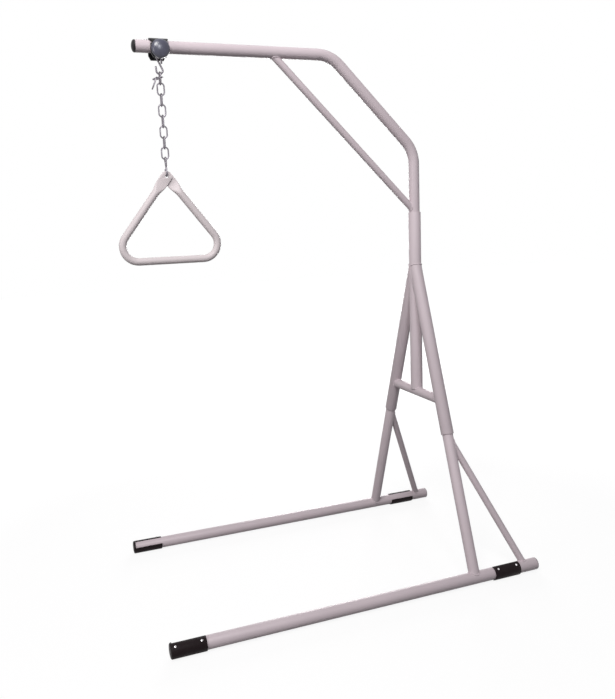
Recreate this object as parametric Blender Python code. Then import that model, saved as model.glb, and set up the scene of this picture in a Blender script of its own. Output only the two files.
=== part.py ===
"""Bed trapeze: a floor stand of steel tube with a cantilever boom and a hand grip on a chain.

Sizes are in metres, +Z is up. The boom points to -X, the near side is -Y and the mast is on x = 0, y = 0
until the whole model is moved so that its origin lies under the middle of its box.
"""
import math

import bmesh
import bpy
from mathutils import Matrix, Vector

# Clearances
FIT = 0.0003
SCREW_FIT = 0.0006

# Tubes: outer diameters and walls
MAIN_D = 0.0349
MAIN_WALL = 0.0017
SLEEVE_WALL = 0.0029
RAIL_D = 0.0381
RAIL_WALL = 0.0017
BRACE_D = 0.0222
BRACE_WALL = 0.0015
CROSS_D = 0.03175
CROSS_WALL = 0.0017

# Floor stand
RAIL_Y = 0.349
RAIL_FRONT = 0.961
RAIL_REAR = 0.230
LEG_TOP_Z = 0.995
SLEEVE_END_Z = 0.450
POST_PLUG = 0.200
CROSS_Z = 0.556
SOCKET_UNDER_BRACE = 0.003
SOCKET_SADDLE = 0.006
LEG_BRACE_X = 0.190
LEG_BRACE_Z = 0.4436

# Rubber boots and pads
PAD_T = 0.0025
PAD_CHAMFER = 0.0006
FOOT_FLAT = 0.0005
BOOT_LENGTH = 0.100
BOOT_END = 0.0065
BOOT_NOSE = ((0.62, 0), (0.86, 0.10), (0.965, 0.30), (1, 0.62))
REAR_PAD_X = 0.066
REAR_PAD_LENGTH = 0.095
PAD_OVER_TOP = math.radians(5)
PAD_INNER_RISE = math.radians(12)
PLUG_FLANGE = 0.0018
PLUG_DEPTH = 0.018
PLUG_WALL = 0.002

# Pad rivets
RIVET_ANGLE = math.radians(54)
RIVET_INSET = 0.0136
RIVET_SHANK_R = 0.0018
RIVET_BULB_R = 0.0026
RIVET_BULB = 0.003
RIVET_HEAD_R = 0.0034
RIVET_HEAD = 0.0013

# Mast and boom
BOOM_Z = 1.660
BOOM_REACH = 0.8905
BEND_RUN = 0.290
BEND_R = 0.105
BOOM_BRACE_RUN = 0.487
CAP_DOME = 0.008
CAP_RIM = 0.002
CAP_DEPTH = 0.020
STOP_X = 0.8595
STOP_HEAD_R = 0.004
STOP_HEAD = 0.003
STOP_SHANK_R = 0.002
STOP_REACH = 0.003
STOP_GAP = 0.0045

# Snap buttons with their leaf springs
MAST_BUTTON_DROP = 0.050
LEG_BUTTON_RISE = 0.042
BUTTON_R = 0.004
BUTTON_PROUD = 0.0015
BUTTON_DOME = 0.001
BUTTON_FLANGE_R = 0.0053
BUTTON_FLANGE = 0.0012
LEAF_WIDTH = 0.008
LEAF_T = 0.0008
LEAF_LENGTH = 0.045
LEAF_BEND_R = 0.003
LEAF_TAIL = 0.006

# Clamp on the boom
STRAP_HALF = 0.026
STRAP_TOP_WALL = 0.005
STRAP_REAR_WALL = 0.004
STRAP_FRONT_WALL = 0.0055
STRAP_DROP = 0.0335
STRAP_FOOT_LEFT = 0.0195
STRAP_FOOT_RIGHT = 0.0175
TAPER_LEFT = 0.012
TAPER_RIGHT = 0.015
NOTCH_R = 0.0055
NOTCH_Z = 0.010
NUT_FLATS = 0.013
NUT_T = 0.0040
STUD_R = 0.004
STUD_BORE_R = 0.0043
STUD_DROP = 0.0125
PRESS_TRAVEL = 0.0025
SHOE_R = 0.005
SHOE_T = 0.003
SHOE_FACE = 0.008
TIP_R = 0.0025
TIP_DEPTH = 0.002
PIN_R = 0.003
PIN_DROP = 0.0268
PIN_HEAD_R = 0.0048
PIN_HEAD = 0.0012

# Clamp knob
KNOB_R = 0.0262
KNOB_GAP = 0.0022
KNOB_RIM = 0.008
KNOB_DOME = 0.012
KNOB_WALL = 0.003
KNOB_BOSS_R = 0.0095
KNOB_BORE_DEPTH = 0.011
KNOB_RIBS = 16
KNOB_RIB = 0.0006
KNOB_RIB_ROWS = (7, 8)

# S-hooks
HOOK_WIRE_R = 0.0027
HOOK_HEIGHT = 0.0531
HOOK_TOP_R = 0.007
HOOK_LOW_R = 0.0093
HOOK_TOP_TIP = 0.01675
HOOK_LOW_TIP = 0.0108
HOOK_FLARE = 0.0010

# Chain
LINK_WIRE_R = 0.0022
LINK_LENGTH = 0.039
LINK_WIDTH = 0.024
HANGING_LINKS = 8

# Spare links: middle from the first link's middle, and the directions of their planes
SPARE_1_AT = (-0.0088, -0.0127, -0.0024)
SPARE_1_YAW = math.radians(41.3)
SPARE_1_PITCH = math.radians(19.5)
SPARE_1_ROLL = math.radians(-1.9)
SPARE_2_AT = (-0.0217, -0.0256, -0.0186)
SPARE_2_LEAN = math.radians(23.1)
SPARE_2_NOD = math.radians(2.2)
SPARE_2_ROLL = math.radians(4.3)

# Hand grip
GRIP_D = 0.0222
GRIP_WALL = 0.0017
GRIP_WIDTH = 0.305
GRIP_CORNER_R = 0.045
GRIP_DROP = 0.2447
LUG_SLIT = 0.0004
LUG_FLAT = 0.024
LUG_TAPER = 0.040
LUG_TIP = 0.013
LUG_TIP_HALF = 0.0165
LUG_HOLE_R = 0.005
LUG_HOLE_RISE = 0.0008

# Facets
BIG_SIDES = 20
SMALL_SIDES = 14
WIRE_SIDES = 8
RIVET_SIDES = 8
CUTTER_SIDES = 28
HALF_SIDE = 0.5
NUT_STEPS = 4
PAD_STEP = math.radians(17)
EMPTY_SIZE = 0.02

# Sizes that follow from those above
MAIN_R = MAIN_D / 2
SLEEVE_BORE_R = MAIN_R + FIT
SLEEVE_R = SLEEVE_BORE_R + SLEEVE_WALL
RAIL_R = RAIL_D / 2
BRACE_R = BRACE_D / 2
CROSS_R = CROSS_D / 2
GRIP_R = GRIP_D / 2
PAD_BORE_R = RAIL_R + FIT
PAD_R = PAD_BORE_R + PAD_T
RAIL_Z = PAD_R - FOOT_FLAT
FRONT_TIP_X = -RAIL_FRONT - FIT - BOOT_END
REAR_TIP_X = RAIL_REAR + FIT + PLUG_FLANGE
LEG_ANGLE = math.atan2(RAIL_Y, LEG_TOP_Z - RAIL_Z)
MAST_FOOT_Z = CROSS_Z + CROSS_R + FIT
SOCKET_TOP_Z = BOOM_Z - BOOM_BRACE_RUN - SOCKET_UNDER_BRACE
MAST_BUTTON_Z = SOCKET_TOP_Z - MAST_BUTTON_DROP
LEG_BUTTON_Z = SLEEVE_END_Z + LEG_BUTTON_RISE
HANG_X = -(STOP_X - STOP_HEAD_R - STOP_GAP - STRAP_HALF)
ORIGIN_X = (min(FRONT_TIP_X, HANG_X - GRIP_WIDTH / 2) + REAR_TIP_X) / 2
SHOE_BACK = MAIN_R + SHOE_T
CHEEK_IN = SHOE_BACK + PRESS_TRAVEL + FIT
CHEEK_OUT = CHEEK_IN + STRAP_FRONT_WALL
STRAP_BORE_R = MAIN_R + FIT
KNOB_BACK = CHEEK_OUT + KNOB_GAP
STUD_Z = BOOM_Z - STUD_DROP
PIN_Z = BOOM_Z - PIN_DROP
LINK_END_R = LINK_WIDTH / 2 - LINK_WIRE_R
LINK_HALF = LINK_LENGTH / 2 - LINK_WIRE_R - LINK_END_R
LINK_PITCH = 2 * (LINK_HALF + LINK_END_R) - 2 * LINK_WIRE_R - FIT
UPPER_HOOK_TOP = PIN_Z + PIN_R + FIT + HOOK_WIRE_R
UPPER_HOOK_LOW = UPPER_HOOK_TOP - HOOK_HEIGHT
FIRST_LINK_Z = UPPER_HOOK_LOW + HOOK_WIRE_R + FIT + LINK_WIRE_R - LINK_HALF - LINK_END_R
LAST_LINK_Z = FIRST_LINK_Z - (HANGING_LINKS - 1) * LINK_PITCH
LOWER_HOOK_SEAT = LAST_LINK_Z - LINK_HALF - LINK_END_R
LOWER_HOOK_TOP = LOWER_HOOK_SEAT + LINK_WIRE_R + FIT + HOOK_WIRE_R
LOWER_HOOK_LOW = LOWER_HOOK_TOP - HOOK_HEIGHT
LUG_Z = LOWER_HOOK_LOW - LUG_HOLE_RISE
LUG_HALF_T = GRIP_WALL + LUG_SLIT / 2
LUG_Y = LUG_HALF_T + FIT / 2
LUG_HALF_W = LUG_HALF_T + math.pi * (GRIP_R - LUG_HALF_T) / 2

X_AXIS = Vector((1, 0, 0))
Y_AXIS = Vector((0, 1, 0))
Z_AXIS = Vector((0, 0, 1))
NEAR_AND_FAR = (("left", -1), ("right", 1))


def clear_scene():
    """Removes every object of the scene that the script starts in."""
    for old in list(bpy.data.objects):
        bpy.data.objects.remove(old, do_unlink=True)


def new_material(name, colour, roughness, metallic):
    """A Principled BSDF material of one colour."""
    material = bpy.data.materials.new(name)
    material.use_nodes = True
    shader = material.node_tree.nodes["Principled BSDF"]
    shader.inputs["Base Color"].default_value = (*colour, 1)
    shader.inputs["Roughness"].default_value = roughness
    shader.inputs["Metallic"].default_value = metallic
    material.diffuse_color = (*colour, 1)
    return material


def frame_paint():
    return new_material("frame_paint", (0.60, 0.50, 0.52), 0.38, 0.0)


def grip_paint():
    return new_material("grip_paint", (0.74, 0.66, 0.66), 0.35, 0.0)


def black_rubber():
    return new_material("black_rubber", (0.015, 0.012, 0.012), 0.65, 0.0)


def black_plastic():
    return new_material("black_plastic", (0.02, 0.02, 0.022), 0.25, 0.0)


def black_steel():
    return new_material("black_steel", (0.02, 0.02, 0.02), 0.45, 0.0)


def zinc_steel():
    return new_material("zinc_steel", (0.42, 0.42, 0.44), 0.35, 1.0)


def bright_steel():
    return new_material("bright_steel", (0.66, 0.65, 0.63), 0.25, 1.0)


def frame_along(direction, side):
    """Two unit vectors square to direction, the first as near to side as can be."""
    along = direction.normalized()
    first = (side - along * side.dot(along)).normalized()
    return first, along.cross(first)


def circle(radius, sides, offset=0.0):
    """Points of a circle as pairs, turned by a share of one side."""
    angles = [2 * math.pi * (k + offset) / sides for k in range(sides)]
    return [(radius * math.cos(angle), radius * math.sin(angle)) for angle in angles]


def placed(outline, centre, first, second):
    """An outline of pairs laid at centre along two directions."""
    return [centre + first * a + second * b for a, b in outline]


def skin(bm, rings, closed=False):
    """Lays quads between rings of equally many points and returns the rings' vertices."""
    rows = [[bm.verts.new(point) for point in ring] for ring in rings]
    following = rows[1:] + rows[:1] if closed else rows[1:]
    for row, after in zip(rows, following):
        for k in range(len(row)):
            m = (k + 1) % len(row)
            bm.faces.new((row[k], row[m], after[m], after[k]))
    return rows


def annulus(bm, outer, inner):
    """Closes the end between an outer and an inner ring of vertices."""
    for k in range(len(outer)):
        m = (k + 1) % len(outer)
        bm.faces.new((outer[k], outer[m], inner[m], inner[k]))


def finished(bm, name, material):
    """Turns a bmesh into an object in the scene."""
    bmesh.ops.recalc_face_normals(bm, faces=bm.faces)
    mesh = bpy.data.meshes.new(name)
    bm.to_mesh(mesh)
    bm.free()
    mesh.shade_smooth()
    mesh.set_sharp_from_angle(angle=math.radians(35))
    if material:
        mesh.materials.append(material)
    thing = bpy.data.objects.new(name, mesh)
    bpy.context.collection.objects.link(thing)
    return thing


def solid(name, rings, material):
    """A solid lofted through rings, with flat ends."""
    bm = bmesh.new()
    rows = skin(bm, rings)
    bm.faces.new(rows[0])
    bm.faces.new(rows[-1])
    return finished(bm, name, material)


def hollow(name, outer, inner, material):
    """A tube with a bore, lofted through outer and inner rings and open at both ends."""
    bm = bmesh.new()
    outside = skin(bm, outer)
    inside = skin(bm, inner)
    annulus(bm, outside[0], inside[0])
    annulus(bm, outside[-1], inside[-1])
    return finished(bm, name, material)


def loop(name, rings, material):
    """A closed ring of wire."""
    bm = bmesh.new()
    skin(bm, rings, closed=True)
    return finished(bm, name, material)


def turned(name, profile, start, direction, side, sides, material, ripple=None):
    """A solid of revolution: profile holds (radius, height) from pole to pole along direction."""
    first, second = frame_along(direction, side)
    along = direction.normalized()
    bm = bmesh.new()
    ends = [bm.verts.new(start + along * profile[k][1]) for k in (0, -1)]
    rows = []
    for index, (radius, height) in enumerate(profile[1:-1]):
        row = []
        for k in range(sides):
            angle = 2 * math.pi * k / sides
            here = radius - (ripple(index, k) if ripple else 0)
            spoke = first * math.cos(angle) + second * math.sin(angle)
            row.append(bm.verts.new(start + along * height + spoke * here))
        rows.append(row)
    for row, after in zip(rows, rows[1:]):
        for k in range(sides):
            m = (k + 1) % sides
            bm.faces.new((row[k], row[m], after[m], after[k]))
    for pole, row in zip(ends, (rows[0], rows[-1])):
        for k in range(sides):
            bm.faces.new((pole, row[k], row[(k + 1) % sides]))
    return finished(bm, name, material)


def straight_tube(name, start, end, radius, wall, side, sides, material):
    """A hollow straight tube between two points of its axis."""
    first, second = frame_along(end - start, side)
    outer = [placed(circle(radius, sides), point, first, second) for point in (start, end)]
    inner = [placed(circle(radius - wall, sides), point, first, second) for point in (start, end)]
    return hollow(name, outer, inner, material)


def make_cutter(thing):
    """Hides a shape that only cuts others."""
    thing.hide_render = True
    thing.display_type = "WIRE"
    return thing


def rod_cutter(name, start, end, radius, sides=CUTTER_SIDES, side=Z_AXIS, offset=HALF_SIDE):
    """A cylinder that cuts a cope, a bore or a hole."""
    first, second = frame_along(end - start, side)
    rings = [placed(circle(radius, sides, offset), point, first, second) for point in (start, end)]
    return make_cutter(solid(name, rings, None))


def prism_cutter(name, outline, low, high, across):
    """A prism whose outline of pairs lies in the plane square to across, x or y."""
    if across == "y":
        rings = [[Vector((a, y, b)) for a, b in outline] for y in (low, high)]
    else:
        rings = [[Vector((x, a, b)) for a, b in outline] for x in (low, high)]
    return make_cutter(solid(name, rings, None))


def cut(thing, *cutters):
    """Cuts an object with others."""
    for cutter in cutters:
        modifier = thing.modifiers.new(cutter.name, "BOOLEAN")
        modifier.operation = "DIFFERENCE"
        modifier.solver = "EXACT"
        modifier.object = cutter


def arc(centre, radius, start, end, steps):
    """Points of an arc with its directions of travel, as pairs of pairs."""
    points = []
    turn = 1 if end > start else -1
    for k in range(steps + 1):
        angle = start + (end - start) * k / steps
        point = (centre[0] + radius * math.cos(angle), centre[1] + radius * math.sin(angle))
        points.append((point, (-turn * math.sin(angle), turn * math.cos(angle))))
    return points


def wire_rings(path, radius, middle, across, upward):
    """Rings of a wire that follows a flat path of points and directions."""
    normal = across.cross(upward)
    rings = []
    for (a, b), (da, db) in path:
        tangent = (across * da + upward * db).normalized()
        centre = middle + across * a + upward * b
        rings.append(placed(circle(radius, WIRE_SIDES), centre, normal.cross(tangent), normal))
    return rings


def leg_point(sign, z):
    """The point of a leg's axis at a height."""
    return Vector((0, sign * (LEG_TOP_Z - z) * math.tan(LEG_ANGLE), z))


def leg_direction(sign):
    """The unit vector down a leg."""
    return Vector((0, sign * math.sin(LEG_ANGLE), -math.cos(LEG_ANGLE)))


def rail_point(sign, x):
    """The point of a rail's axis at an x."""
    return Vector((x, sign * RAIL_Y, RAIL_Z))


def sleeve_cutter(side, sign):
    """The outside of a leg sleeve, to cope the cross tube's end on."""
    ends = leg_point(sign, LEG_TOP_Z), leg_point(sign, SLEEVE_END_Z)
    return rod_cutter(f"cut_{side}_sleeve", *ends, SLEEVE_R + FIT)


def post_cutter(side, sign):
    """The outside of a leg post, to cope its brace on."""
    start = leg_point(sign, SLEEVE_END_Z + POST_PLUG)
    return rod_cutter(f"cut_{side}_post", start, rail_point(sign, 0), MAIN_R + FIT)


def rail_cutter(side, sign):
    """The outside of a rail, to cope the post and its brace on."""
    ends = rail_point(sign, -RAIL_FRONT), rail_point(sign, RAIL_REAR + RAIL_D)
    return rod_cutter(f"cut_{side}_rail", *ends, RAIL_R + FIT)


def button_cutter(name, middle, clearance=FIT):
    """The hole of a snap button through a tube and the sleeve round it."""
    start = middle + X_AXIS * (MAIN_R - MAIN_WALL) / 2
    end = middle + X_AXIS * (SLEEVE_R + BUTTON_R)
    return rod_cutter(name, start, end, BUTTON_R + clearance, BIG_SIDES)


def bent_path(corners, radius, steps):
    """A path in the XZ plane through corners, each rounded by an arc: points with directions."""
    path = [(corners[0], (corners[1] - corners[0]).normalized())]
    for before, corner, after in zip(corners, corners[1:], corners[2:]):
        come = (corner - before).normalized()
        leave = (after - corner).normalized()
        turn = come.angle(leave)
        back = radius * math.tan(turn / 2)
        inward = (leave - come * leave.dot(come)).normalized()
        centre = corner - come * back + inward * radius
        for k in range(steps + 1):
            angle = turn * k / steps
            point = centre - inward * radius * math.cos(angle) + come * radius * math.sin(angle)
            path.append((point, come * math.cos(angle) + inward * math.sin(angle)))
    path.append((corners[-1], (corners[-1] - corners[-2]).normalized()))
    return path


def boom_mast_tube(material, button_hole):
    """One tube: level boom, two bends and the mast that plugs into the socket."""
    corners = [
        Vector((-BOOM_REACH, 0, BOOM_Z)),
        Vector((-BEND_RUN, 0, BOOM_Z)),
        Vector((0, 0, BOOM_Z - BEND_RUN)),
        Vector((0, 0, MAST_FOOT_Z)),
    ]
    rings = []
    for radius in (MAIN_R, MAIN_R - MAIN_WALL):
        rings.append([])
        for point, direction in bent_path(corners, BEND_R, 5):
            rings[-1].append(placed(circle(radius, BIG_SIDES), point, Y_AXIS.cross(direction), Y_AXIS))
    thing = hollow("boom_mast_tube", rings[0], rings[1], material)
    start = Vector((-STOP_X, 0, BOOM_Z))
    ends = start, start + Z_AXIS * MAIN_D
    screw_hole = rod_cutter("cut_stop_screw", *ends, STOP_SHANK_R + FIT, SMALL_SIDES, X_AXIS)
    cut(thing, screw_hole, button_hole)
    return thing


def boom_brace(material):
    """The slanting tube under the boom, coped on the boom and the mast."""
    start = Vector((-BOOM_BRACE_RUN, 0, BOOM_Z))
    end = Vector((0, 0, BOOM_Z - BOOM_BRACE_RUN))
    thing = straight_tube("boom_brace", start, end, BRACE_R, BRACE_WALL, Y_AXIS, SMALL_SIDES, material)
    boom = rod_cutter("cut_boom", start - X_AXIS * MAIN_D, start + X_AXIS * 3 * MAIN_D, MAIN_R + FIT)
    mast = rod_cutter("cut_mast", end - Z_AXIS * MAIN_D, end + Z_AXIS * 3 * MAIN_D, MAIN_R + FIT, side=X_AXIS)
    cut(thing, boom, mast)
    return thing


def boom_end_cap(material):
    """The domed plug in the boom's free end."""
    stub = MAIN_R - MAIN_WALL - FIT
    profile = [(0, FIT - CAP_DEPTH / 4)]
    profile += [(stub - PLUG_WALL, FIT - CAP_DEPTH / 4), (stub - PLUG_WALL, FIT - CAP_DEPTH)]
    profile += [(stub, FIT - CAP_DEPTH), (stub, FIT), (MAIN_R, FIT), (MAIN_R, FIT + CAP_RIM)]
    for k in range(1, 4):
        angle = math.radians(90) * k / 4
        profile.append((MAIN_R * math.cos(angle), FIT + CAP_RIM + CAP_DOME * math.sin(angle)))
    profile.append((0, FIT + CAP_RIM + CAP_DOME))
    start = Vector((-BOOM_REACH, 0, BOOM_Z))
    return turned("boom_end_cap", profile, start, -X_AXIS, Y_AXIS, BIG_SIDES, material)


def boom_stop_screw(material):
    """The small screw on the boom that keeps the clamp from sliding off."""
    seat = MAIN_R + FIT
    reach = MAIN_R - MAIN_WALL - STOP_REACH
    profile = [(0, reach), (STOP_SHANK_R, reach), (STOP_SHANK_R, seat), (STOP_HEAD_R, seat)]
    profile += [(STOP_HEAD_R, seat + STOP_HEAD * 0.6), (STOP_HEAD_R * 0.7, seat + STOP_HEAD)]
    profile += [(0, seat + STOP_HEAD)]
    start = Vector((-STOP_X, 0, BOOM_Z))
    return turned("boom_stop_screw", profile, start, Z_AXIS, X_AXIS, SMALL_SIDES, material)


def mast_socket(material, cross_outside, button_hole):
    """The sleeve that takes the mast, saddled on the cross tube."""
    start = Vector((0, 0, CROSS_Z + CROSS_R - SOCKET_SADDLE))
    end = Vector((0, 0, SOCKET_TOP_Z))
    wall = SLEEVE_R - SLEEVE_BORE_R
    thing = straight_tube("mast_socket", start, end, SLEEVE_R, wall, X_AXIS, BIG_SIDES, material)
    cut(thing, cross_outside, button_hole)
    return thing


def cross_tube(material, sleeves):
    """The level tube between the two leg sleeves."""
    ends = leg_point(-1, CROSS_Z), leg_point(1, CROSS_Z)
    thing = straight_tube("cross_tube", *ends, CROSS_R, CROSS_WALL, Z_AXIS, BIG_SIDES, material)
    cut(thing, *sleeves)
    return thing


def leg_sleeve(side, sign, material, socket_outside, button_hole):
    """The sleeve of one leg, coped on the side of the mast socket."""
    ends = leg_point(sign, LEG_TOP_Z), leg_point(sign, SLEEVE_END_Z)
    name = f"{side}_leg_sleeve"
    thing = straight_tube(name, *ends, SLEEVE_R, SLEEVE_WALL, X_AXIS, BIG_SIDES, material)
    cut(thing, socket_outside, button_hole)
    return thing


def leg_post(side, sign, material, rail_outside, button_hole):
    """The tube that plugs into a leg sleeve and stands on the rail."""
    ends = leg_point(sign, SLEEVE_END_Z + POST_PLUG), rail_point(sign, 0)
    thing = straight_tube(f"{side}_leg_post", *ends, MAIN_R, MAIN_WALL, X_AXIS, BIG_SIDES, material)
    cut(thing, rail_outside, button_hole)
    return thing


def leg_brace(side, sign, material, post_outside, rail_outside):
    """The slanting tube from a leg post back to its rail."""
    ends = leg_point(sign, LEG_BRACE_Z), rail_point(sign, LEG_BRACE_X)
    name = f"{side}_leg_brace"
    thing = straight_tube(name, *ends, BRACE_R, BRACE_WALL, Y_AXIS, SMALL_SIDES, material)
    cut(thing, post_outside, rail_outside)
    return thing


def rivet_direction(sign):
    """The unit vector along which the rivets of one rail point."""
    return Vector((0, sign * math.cos(RIVET_ANGLE), math.sin(RIVET_ANGLE)))


def rivet_places(side, sign):
    """Names and points on the rail's axis of the rivets of one rail."""
    front = FRONT_TIP_X
    places = {
        f"{side}_boot_rivet_1": front + RIVET_INSET,
        f"{side}_boot_rivet_2": front + BOOT_LENGTH - RIVET_INSET,
        f"{side}_pad_rivet_1": REAR_PAD_X + RIVET_INSET,
        f"{side}_pad_rivet_2": REAR_PAD_X + REAR_PAD_LENGTH - RIVET_INSET,
    }
    return {name: rail_point(sign, x) for name, x in places.items()}


def rivet_cutter(name, start, sign):
    """The hole of a rivet through pad and rail."""
    out = rivet_direction(sign)
    ends = start + out * (RAIL_R - RAIL_WALL) / 2, start + out * (PAD_R + PAD_T)
    return rod_cutter(f"cut_{name}", *ends, RIVET_SHANK_R + FIT, RIVET_SIDES, X_AXIS)


def pad_rivet(name, start, sign, material):
    """A rivet: bulb inside the rail, shank through both, head on the pad."""
    bore = RAIL_R - RAIL_WALL
    inside = bore * math.cos(math.pi / BIG_SIDES) - RIVET_BULB_R ** 2 / (2 * bore) - FIT
    seat = PAD_R + FIT
    profile = [(0, inside - RIVET_BULB), (RIVET_BULB_R, inside - RIVET_BULB / 2)]
    profile += [(RIVET_BULB_R, inside), (RIVET_SHANK_R, inside)]
    profile += [(RIVET_SHANK_R, seat), (RIVET_HEAD_R, seat), (RIVET_HEAD_R * 0.75, seat + RIVET_HEAD * 0.7)]
    profile += [(0, seat + RIVET_HEAD)]
    return turned(name, profile, start, rivet_direction(sign), X_AXIS, RIVET_SIDES, material)


def rail(side, sign, material, holes):
    """One floor rail."""
    ends = rail_point(sign, -RAIL_FRONT), rail_point(sign, RAIL_REAR)
    thing = straight_tube(f"{side}_rail", *ends, RAIL_R, RAIL_WALL, Y_AXIS, BIG_SIDES, material)
    cut(thing, *holes)
    return thing


def pad_point(sign, x, radius, angle):
    """A point on a pad, flat on the floor. The angle rises from the outer side."""
    y = sign * (RAIL_Y + radius * math.cos(angle))
    return Vector((x, y, max(RAIL_Z + radius * math.sin(angle), 0)))


def even_angles(start, end):
    """Falling angles from start to end in even steps."""
    steps = math.ceil((start - end) / PAD_STEP)
    return [start + (end - start) * k / steps for k in range(steps + 1)]


def pad_angles(start, end):
    """Falling angles round a pad, with the edges and the middle of the flat that lies on the floor."""
    down = -math.radians(90)
    flat = math.acos(RAIL_Z / PAD_R)
    return [*even_angles(start, down + flat), down, *even_angles(down - flat, end)]


def rear_pad(side, sign, material, holes):
    """The C-shaped rubber pad under a rail's rear part."""
    low, high = REAR_PAD_X, REAR_PAD_X + REAR_PAD_LENGTH
    angles = pad_angles(math.radians(90) + PAD_OVER_TOP, -math.radians(180) - PAD_INNER_RISE)
    section = [(PAD_BORE_R, low), (PAD_R - PAD_CHAMFER, low), (PAD_R, low + PAD_CHAMFER)]
    section += [(PAD_R, high - PAD_CHAMFER), (PAD_R - PAD_CHAMFER, high), (PAD_BORE_R, high)]
    rings = []
    for angle in angles:
        rings.append([pad_point(sign, x, radius, angle) for radius, x in section])
    thing = solid(f"{side}_rear_pad", rings, material)
    cut(thing, *holes)
    return thing


def front_boot(side, sign, material, holes):
    """The rubber boot on a rail's front end: a full end wall and a C-shaped skirt."""
    tip = FRONT_TIP_X
    back = tip + BOOT_LENGTH
    stations = [(PAD_R * share, tip + BOOT_END * depth) for share, depth in BOOT_NOSE]
    stations += [(PAD_R, back - PAD_CHAMFER), (PAD_R - PAD_CHAMFER, back)]
    top = math.radians(90)
    angles = pad_angles(top, top - 2 * math.pi)[:-1]
    rings = []
    for radius, x in stations:
        rings.append([pad_point(sign, x, radius, angle) for angle in angles])
    thing = solid(f"{side}_front_boot", rings, material)
    face = -RAIL_FRONT - FIT
    ends = rail_point(sign, face), rail_point(sign, back + PAD_T)
    bore = rod_cutter(f"cut_{side}_boot_bore", *ends, PAD_BORE_R, CUTTER_SIDES, Y_AXIS)
    from_angle = math.radians(90) + PAD_OVER_TOP
    to_angle = math.radians(180) - PAD_INNER_RISE
    far = 2 * PAD_R
    outline = [(sign * RAIL_Y, RAIL_Z)]
    for k in range(4):
        angle = from_angle + (to_angle - from_angle) * k / 3
        outline.append((sign * (RAIL_Y + far * math.cos(angle)), RAIL_Z + far * math.sin(angle)))
    gap = prism_cutter(f"cut_{side}_boot_gap", outline, face, back + PAD_T, "x")
    cut(thing, bore, gap, *holes)
    return thing


def rear_plug(side, sign, material):
    """The plug in a rail's rear end."""
    stub = RAIL_R - RAIL_WALL - FIT
    profile = [(0, FIT - PLUG_WALL / 2), (stub - PLUG_WALL, FIT - PLUG_WALL / 2)]
    profile += [(stub - PLUG_WALL, FIT - PLUG_DEPTH), (stub, FIT - PLUG_DEPTH)]
    profile += [(stub, FIT), (RAIL_R - FIT, FIT)]
    profile += [(RAIL_R - FIT, FIT + PLUG_FLANGE / 2), (RAIL_R - PLUG_FLANGE / 2, FIT + PLUG_FLANGE)]
    profile += [(0, FIT + PLUG_FLANGE)]
    start = rail_point(sign, RAIL_REAR)
    return turned(f"{side}_rear_plug", profile, start, X_AXIS, Y_AXIS, BIG_SIDES, material)


def button_shoulder():
    """How far from the tube's axis a snap button's flange meets the bore."""
    bore = MAIN_R - MAIN_WALL
    return bore * math.cos(math.pi / BIG_SIDES) - BUTTON_FLANGE_R ** 2 / (2 * bore) - FIT


def snap_button(name, middle, material):
    """A button that locks two plugged tubes: flange inside the tube, pin through both walls."""
    shoulder = button_shoulder()
    top = SLEEVE_R + BUTTON_PROUD
    profile = [(0, shoulder - BUTTON_FLANGE), (BUTTON_FLANGE_R, shoulder - BUTTON_FLANGE)]
    profile += [(BUTTON_FLANGE_R, shoulder), (BUTTON_R, shoulder), (BUTTON_R, top - BUTTON_DOME)]
    profile += [(BUTTON_R * 0.75, top - BUTTON_DOME * 0.25), (0, top)]
    return turned(name, profile, middle, X_AXIS, Y_AXIS, SMALL_SIDES, material)


def button_spring(name, middle, down, material):
    """The V-shaped leaf inside the tube that pushes a button out."""
    bore = (MAIN_R - MAIN_WALL) * math.cos(math.pi / BIG_SIDES)
    across = X_AXIS.cross(down)
    reach = math.sqrt(bore ** 2 - (LEAF_WIDTH / 2) ** 2)
    front = button_shoulder() - BUTTON_FLANGE - FIT - LEAF_T / 2
    rear = -reach + FIT + LEAF_T / 2
    middle_x = (front + rear) / 2
    slope = math.atan2(front - middle_x - LEAF_BEND_R, LEAF_LENGTH)
    path = [((front, -LEAF_TAIL), (0, 1)), ((front, LEAF_TAIL), (0, 1))]
    path += arc((middle_x, LEAF_LENGTH), LEAF_BEND_R, slope, math.pi - slope, 6)
    path += [((rear, LEAF_TAIL), (0, -1)), ((rear, -LEAF_TAIL), (0, -1))]
    rings = []
    for (a, b), (da, db) in path:
        centre = middle + X_AXIS * a + down * b
        normal = (X_AXIS * db - down * da).normalized()
        half = [normal * LEAF_T / 2, across * LEAF_WIDTH / 2]
        rings.append([centre + half[0] * i + half[1] * j for i, j in ((-1, -1), (1, -1), (1, 1), (-1, 1))])
    return solid(name, rings, material)


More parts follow.
